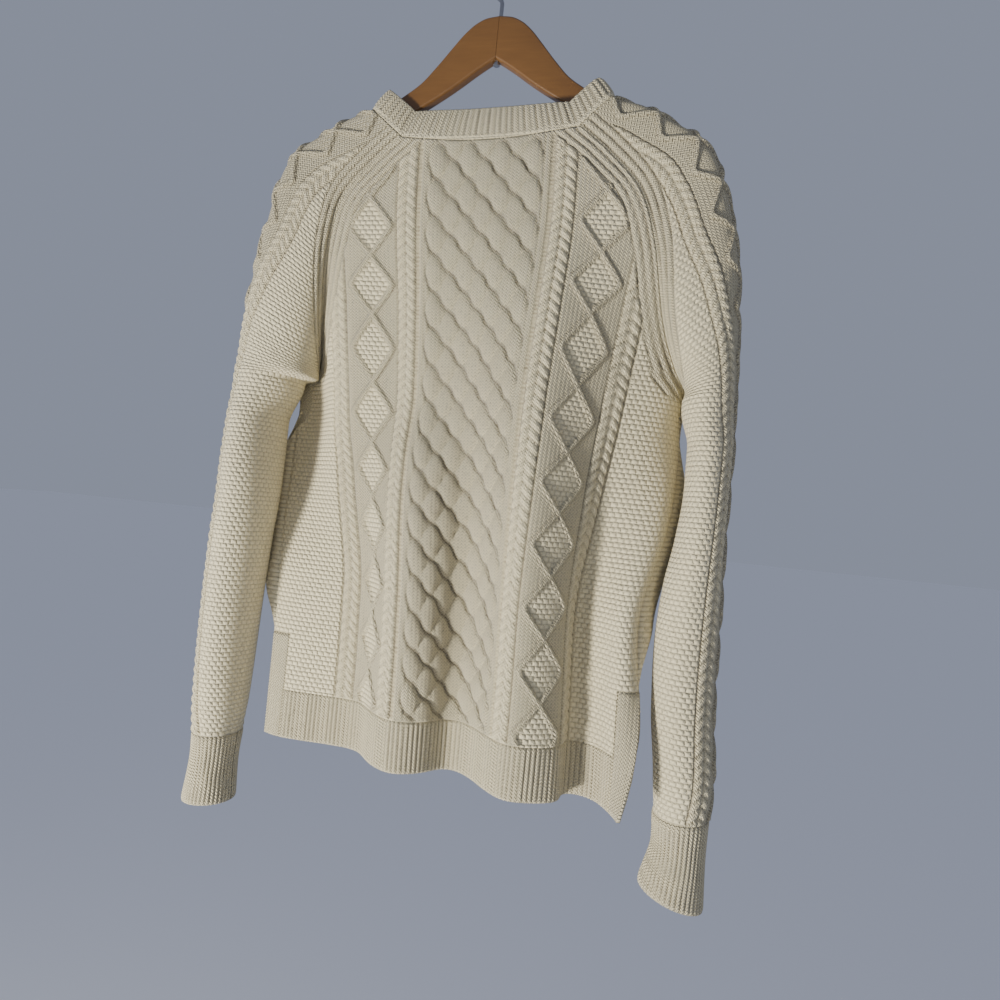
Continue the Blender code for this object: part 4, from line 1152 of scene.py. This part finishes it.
class Value:
    """A shader socket that takes part in sums."""

    def __init__(self, shader: Shader, socket: Any) -> None:
        self.shader, self.socket = shader, socket

    def sum(self, op: Op, *others: Any) -> Value:
        """A maths node on this value and others."""
        return self.shader.maths(op, self, *others)

    def __add__(self, other: Any) -> Value:
        return self.sum(Op.ADD, other)

    __radd__ = __add__

    def __sub__(self, other: Any) -> Value:
        return self.sum(Op.SUBTRACT, other)

    def __rsub__(self, other: Any) -> Value:
        return self.shader.maths(Op.SUBTRACT, other, self)

    def __mul__(self, other: Any) -> Value:
        return self.sum(Op.MULTIPLY, other)

    __rmul__ = __mul__

    def __truediv__(self, other: Any) -> Value:
        return self.sum(Op.DIVIDE, other)

    def __pow__(self, other: Any) -> Value:
        return self.sum(Op.POWER, other)


class Shader:
    """A material's node tree, with a helper for every node it makes."""

    def __init__(self, name: str) -> None:
        self.material = bpy.data.materials.new(name)
        self.material.use_nodes = True
        self.tree = self.material.node_tree
        self.surface = self.tree.nodes["Principled BSDF"]

    def node(self, kind: str, inputs: dict[Any, Any] | None = None, **settings: Any) -> bpy.types.Node:
        """Makes a node, sets it up and links or sets its inputs."""
        made = self.tree.nodes.new(kind)
        for name, value in settings.items():
            setattr(made, name, value)
        for key, value in (inputs or {}).items():
            self.put(made.inputs[key], value)
        return made

    def put(self, socket: Any, value: Any) -> None:
        """Links or sets one input."""
        if isinstance(value, Value):
            self.tree.links.new(value.socket, socket)
        else:
            socket.default_value = value

    def maths(self, op: Op, *values: Any) -> Value:
        """A maths node."""
        made = self.node("ShaderNodeMath", dict(enumerate(values)), operation=op.value)
        return Value(self, made.outputs[0])

    def attribute(self, name: str) -> Value:
        """A share stored on the mesh."""
        return Value(self, self.node("ShaderNodeAttribute", attribute_name=name).outputs["Fac"])

    def cloth(self) -> tuple[Value, Value]:
        """The cloth coordinates in metres, across and down."""
        uv = self.node("ShaderNodeUVMap", uv_map="cloth")
        apart = self.node("ShaderNodeSeparateXYZ", {0: Value(self, uv.outputs[0])})
        return Value(self, apart.outputs[0]), Value(self, apart.outputs[1])

    def place(self) -> Value:
        """The object's own coordinates."""
        return Value(self, self.node("ShaderNodeTexCoord").outputs["Object"])

    def noise(self, at: Value, scale: float, detail: float = 3.0, rough: float = 0.5) -> Value:
        """Noise, 0 to 1."""
        made = self.node("ShaderNodeTexNoise", {"Vector": at, "Scale": scale, "Detail": detail,
                                                "Roughness": rough})
        return Value(self, made.outputs["Fac"])

    def stretched(self, at: Value, scale: tuple[float, float, float]) -> Value:
        """Coordinates scaled along each axis."""
        made = self.node("ShaderNodeVectorMath", {0: at, 1: scale}, operation="MULTIPLY")
        return Value(self, made.outputs[0])

    def mix(self, share: Any, low: Any, high: Any) -> Value:
        """A colour between two."""
        made = self.node("ShaderNodeMix", {0: share, 6: low, 7: high}, data_type="RGBA")
        return Value(self, made.outputs[2])

    def bump(self, height: Value, strength: float = 1.0) -> Value:
        """A normal from a height in metres."""
        made = self.node("ShaderNodeBump", {"Strength": strength, "Distance": 1.0, "Height": height})
        return Value(self, made.outputs[0])


@dataclass(frozen=True)
class KnitFinish:
    """The wool, with shade painted into its creases, moss pits and stitch holes."""

    light: tuple[float, float, float, float] = (0.84, 0.750, 0.485, 1.0)
    dark: tuple[float, float, float, float] = (0.66, 0.57, 0.375, 1.0)
    # The painted shade colour of creases, moss pits and stitch holes; the random specks darken towards it
    # too.
    deep: tuple[float, float, float, float] = (0.175, 0.140, 0.082, 1.0)
    roughness: float = 0.92
    sheen: float = 0.25
    moss_wide: float = 0.0066
    moss_tall: float = 0.0046
    moss_high: float = 0.0016
    stitch_wide: float = 0.0042
    stitch_tall: float = 0.0030
    stitch_high: float = 0.0011
    yarn_high: float = 0.00045

    def build(self) -> bpy.types.Material:
        """Makes the material."""
        s = Shader("cream_knit")
        u, v = s.cloth()
        turn = 2 * np.pi
        fleck = s.noise(s.place(), 330.0, 2.0, 0.7)
        row = v / self.moss_tall + fleck * 0.45
        aside = s.maths(Op.FRACT, s.maths(Op.FLOOR, row) * 0.5)
        over = s.maths(Op.FRACT, u / self.moss_wide + aside + fleck * 0.5) * 2.0 - 1.0
        down = s.maths(Op.FRACT, row) * 2.0 - 1.0
        moss = (1.0 - s.maths(Op.ABSOLUTE, over) ** 2.4) * (1.0 - s.maths(Op.ABSOLUTE, down) ** 2.2)
        column = s.maths(Op.ABSOLUTE, s.maths(Op.FRACT, u / self.stitch_wide) - 0.5)
        slant = s.maths(Op.COSINE, (v / self.stitch_tall + column * 1.6) * turn)
        stitch = slant * 0.7 + column * -0.7
        yarn = s.noise(s.place(), 900.0, 2.0, 0.6)
        cloudy = s.noise(s.place(), 9.0, 2.0, 0.5)
        share, plain, gap = s.attribute("moss"), s.attribute("plain"), s.attribute("gap")
        height = moss * share * self.moss_high + stitch * plain * self.stitch_high + yarn * self.yarn_high
        # Painted shade in the pits between the moss stitch's bumps.
        moss_pit_shade = s.maths(Op.MAXIMUM, 0.42 - moss, 0.0) * share * 1.2
        # Painted shade in the holes of the plain stitches.
        holes = (column + 0.25) * s.maths(Op.MAXIMUM, 0.1 - slant, 0.0) * plain * 0.85
        # Darker specks at random in the yarn.
        specks = s.maths(Op.MAXIMUM, 0.47 - fleck, 0.0) * 1.9
        base = s.mix(cloudy, s.mix(yarn, self.dark, self.light), self.light)
        # The painted shade of creases, moss pits and stitch holes, with the random specks added; the colour
        # darkens towards the deep colour by it.
        depth = s.maths(Op.MAXIMUM, gap, moss_pit_shade) + holes + specks
        s.put(s.surface.inputs["Base Color"], s.mix(s.maths(Op.MINIMUM, depth * 0.75, 1.0), base, self.deep))
        s.put(s.surface.inputs["Normal"], s.bump(height))
        s.surface.inputs["Roughness"].default_value = self.roughness
        s.surface.inputs["Sheen Weight"].default_value = self.sheen
        s.surface.inputs["Sheen Roughness"].default_value = 0.6
        s.surface.inputs["Specular IOR Level"].default_value = 0.15
        return s.material


@dataclass(frozen=True)
class WoodFinish:
    """The varnished wood."""

    light: tuple[float, float, float, float] = (0.215, 0.102, 0.026, 1.0)
    dark: tuple[float, float, float, float] = (0.115, 0.050, 0.012, 1.0)
    roughness: float = 0.42
    coat: float = 0.25

    def build(self) -> bpy.types.Material:
        """Makes the material."""
        s = Shader("honey_wood")
        at = s.place()
        grain = s.noise(s.stretched(at, (12.0, 60.0, 120.0)), 3.0, 4.0, 0.6)
        broad = s.noise(s.stretched(at, (4.0, 10.0, 22.0)), 2.0, 2.0, 0.5)
        s.put(s.surface.inputs["Base Color"], s.mix(grain * 0.6 + broad * 0.4, self.dark, self.light))
        s.put(s.surface.inputs["Normal"], s.bump(grain * 0.00008))
        s.surface.inputs["Roughness"].default_value = self.roughness
        s.surface.inputs["Coat Weight"].default_value = self.coat
        s.surface.inputs["Coat Roughness"].default_value = 0.3
        return s.material


@dataclass(frozen=True)
class WireFinish:
    """The hook's plated wire."""

    colour: tuple[float, float, float, float] = (0.42, 0.42, 0.43, 1.0)
    roughness: float = 0.32

    def build(self) -> bpy.types.Material:
        """Makes the material."""
        s = Shader("plated_wire")
        mottle = s.noise(s.place(), 300.0, 2.0)
        s.put(s.surface.inputs["Base Color"], s.mix(mottle, self.colour, (0.34, 0.34, 0.36, 1.0)))
        s.surface.inputs["Metallic"].default_value = 1.0
        s.surface.inputs["Roughness"].default_value = self.roughness
        return s.material


# --------------------------------------------------------------------------- set


@dataclass(frozen=True)
class CameraSetup:
    """The view: where the lens is and how it's turned, in degrees."""

    place: tuple[float, float, float] = (0.21966, -0.70920, -0.55681)
    yaw: float = 13.743
    pitch: float = -1.0
    roll: float = 5.477
    lens: float = 27.07
    sensor: float = 36.0

    def build(self) -> bpy.types.Object:
        """Makes the scene's camera."""
        data = bpy.data.cameras.new("camera")
        data.lens, data.sensor_width, data.clip_start = self.lens, self.sensor, 0.01
        obj = bpy.data.objects.new("camera", data)
        yaw, pitch, roll = np.radians([self.yaw, self.pitch, self.roll])
        ahead = np.array([-np.sin(yaw) * np.cos(pitch), np.cos(yaw) * np.cos(pitch), -np.sin(pitch)])
        right = np.array([np.cos(yaw), np.sin(yaw), 0.0])
        up = np.cross(right, ahead)
        across = np.cos(roll) * right + np.sin(roll) * up
        above = -np.sin(roll) * right + np.cos(roll) * up
        turned = Matrix([[across[k], above[k], -ahead[k]] for k in range(3)]).to_4x4()
        obj.matrix_world = Matrix.Translation(Vector(self.place)) @ turned
        bpy.context.scene.collection.objects.link(obj)
        bpy.context.scene.camera = obj
        return obj


@dataclass(frozen=True)
class Lamp:
    """An area light that looks at the garment."""

    name: str
    place: tuple[float, float, float]
    size: float
    watts: float
    colour: tuple[float, float, float] = (1.0, 1.0, 1.0)
    at: tuple[float, float, float] = (0.0, 0.0, -0.45)

    def build(self) -> None:
        """Makes the light."""
        data = bpy.data.lights.new(self.name, "AREA")
        data.size, data.energy, data.color = self.size, self.watts, self.colour
        obj = bpy.data.objects.new(self.name, data)
        obj.location = self.place
        obj.rotation_euler = (Vector(self.at) - Vector(self.place)).to_track_quat("-Z", "Y").to_euler()
        bpy.context.scene.collection.objects.link(obj)


LAMPS = (
    Lamp("key", (-0.92, -1.28, -1.38), 0.26, 49.0, (1.0, 0.965, 0.89)),
    Lamp("fill", (0.60, -1.70, -0.75), 1.2, 2.5, (1.0, 0.98, 0.95)),
)


@dataclass(frozen=True)
class Surroundings:
    """The pale floor and the soft light all round."""

    floor_z: float = -1.60
    floor_size: float = 60.0
    floor_colour: tuple[float, float, float, float] = (0.80, 0.82, 0.86, 1.0)
    floor_glow: tuple[float, float, float, float] = (0.055, 0.056, 0.066, 1.0)
    sky: tuple[float, float, float, float] = (0.56, 0.62, 0.80, 1.0)
    sky_strength: float = 0.45

    def build(self) -> None:
        """Makes the floor and the world."""
        half = self.floor_size / 2
        mesh = bpy.data.meshes.new("floor")
        corners = ((-half, -half), (half, -half), (half, half), (-half, half))
        mesh.from_pydata([(x, y, self.floor_z) for x, y in corners], [], [(0, 1, 2, 3)])
        s = Shader("floor")
        s.surface.inputs["Base Color"].default_value = self.floor_colour
        s.surface.inputs["Roughness"].default_value = 0.9
        s.surface.inputs["Emission Color"].default_value = self.floor_glow
        s.surface.inputs["Emission Strength"].default_value = 1.0
        mesh.materials.append(s.material)
        floor = bpy.data.objects.new("floor", mesh)
        bpy.context.scene.collection.objects.link(floor)
        world = bpy.data.worlds.new("studio")
        world.use_nodes = True
        background = world.node_tree.nodes["Background"]
        background.inputs["Color"].default_value = self.sky
        background.inputs["Strength"].default_value = self.sky_strength
        bpy.context.scene.world = world


# --------------------------------------------------------------------------- scene


def main() -> None:
    """Builds the scene."""
    logging.basicConfig(level=logging.INFO, format="%(message)s")
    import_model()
    knit = KnitFinish().build()
    pieces = Garment(knit, Fineness()).build()
    pieces.update(Hanger(WoodFinish().build(), WireFinish().build()).build())
    for node, obj in pieces.items():
        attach(obj, "root")
        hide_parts(node)
    CameraSetup().build()
    for lamp in LAMPS:
        lamp.build()
    Surroundings().build()


if __name__ == "__main__":
    main()
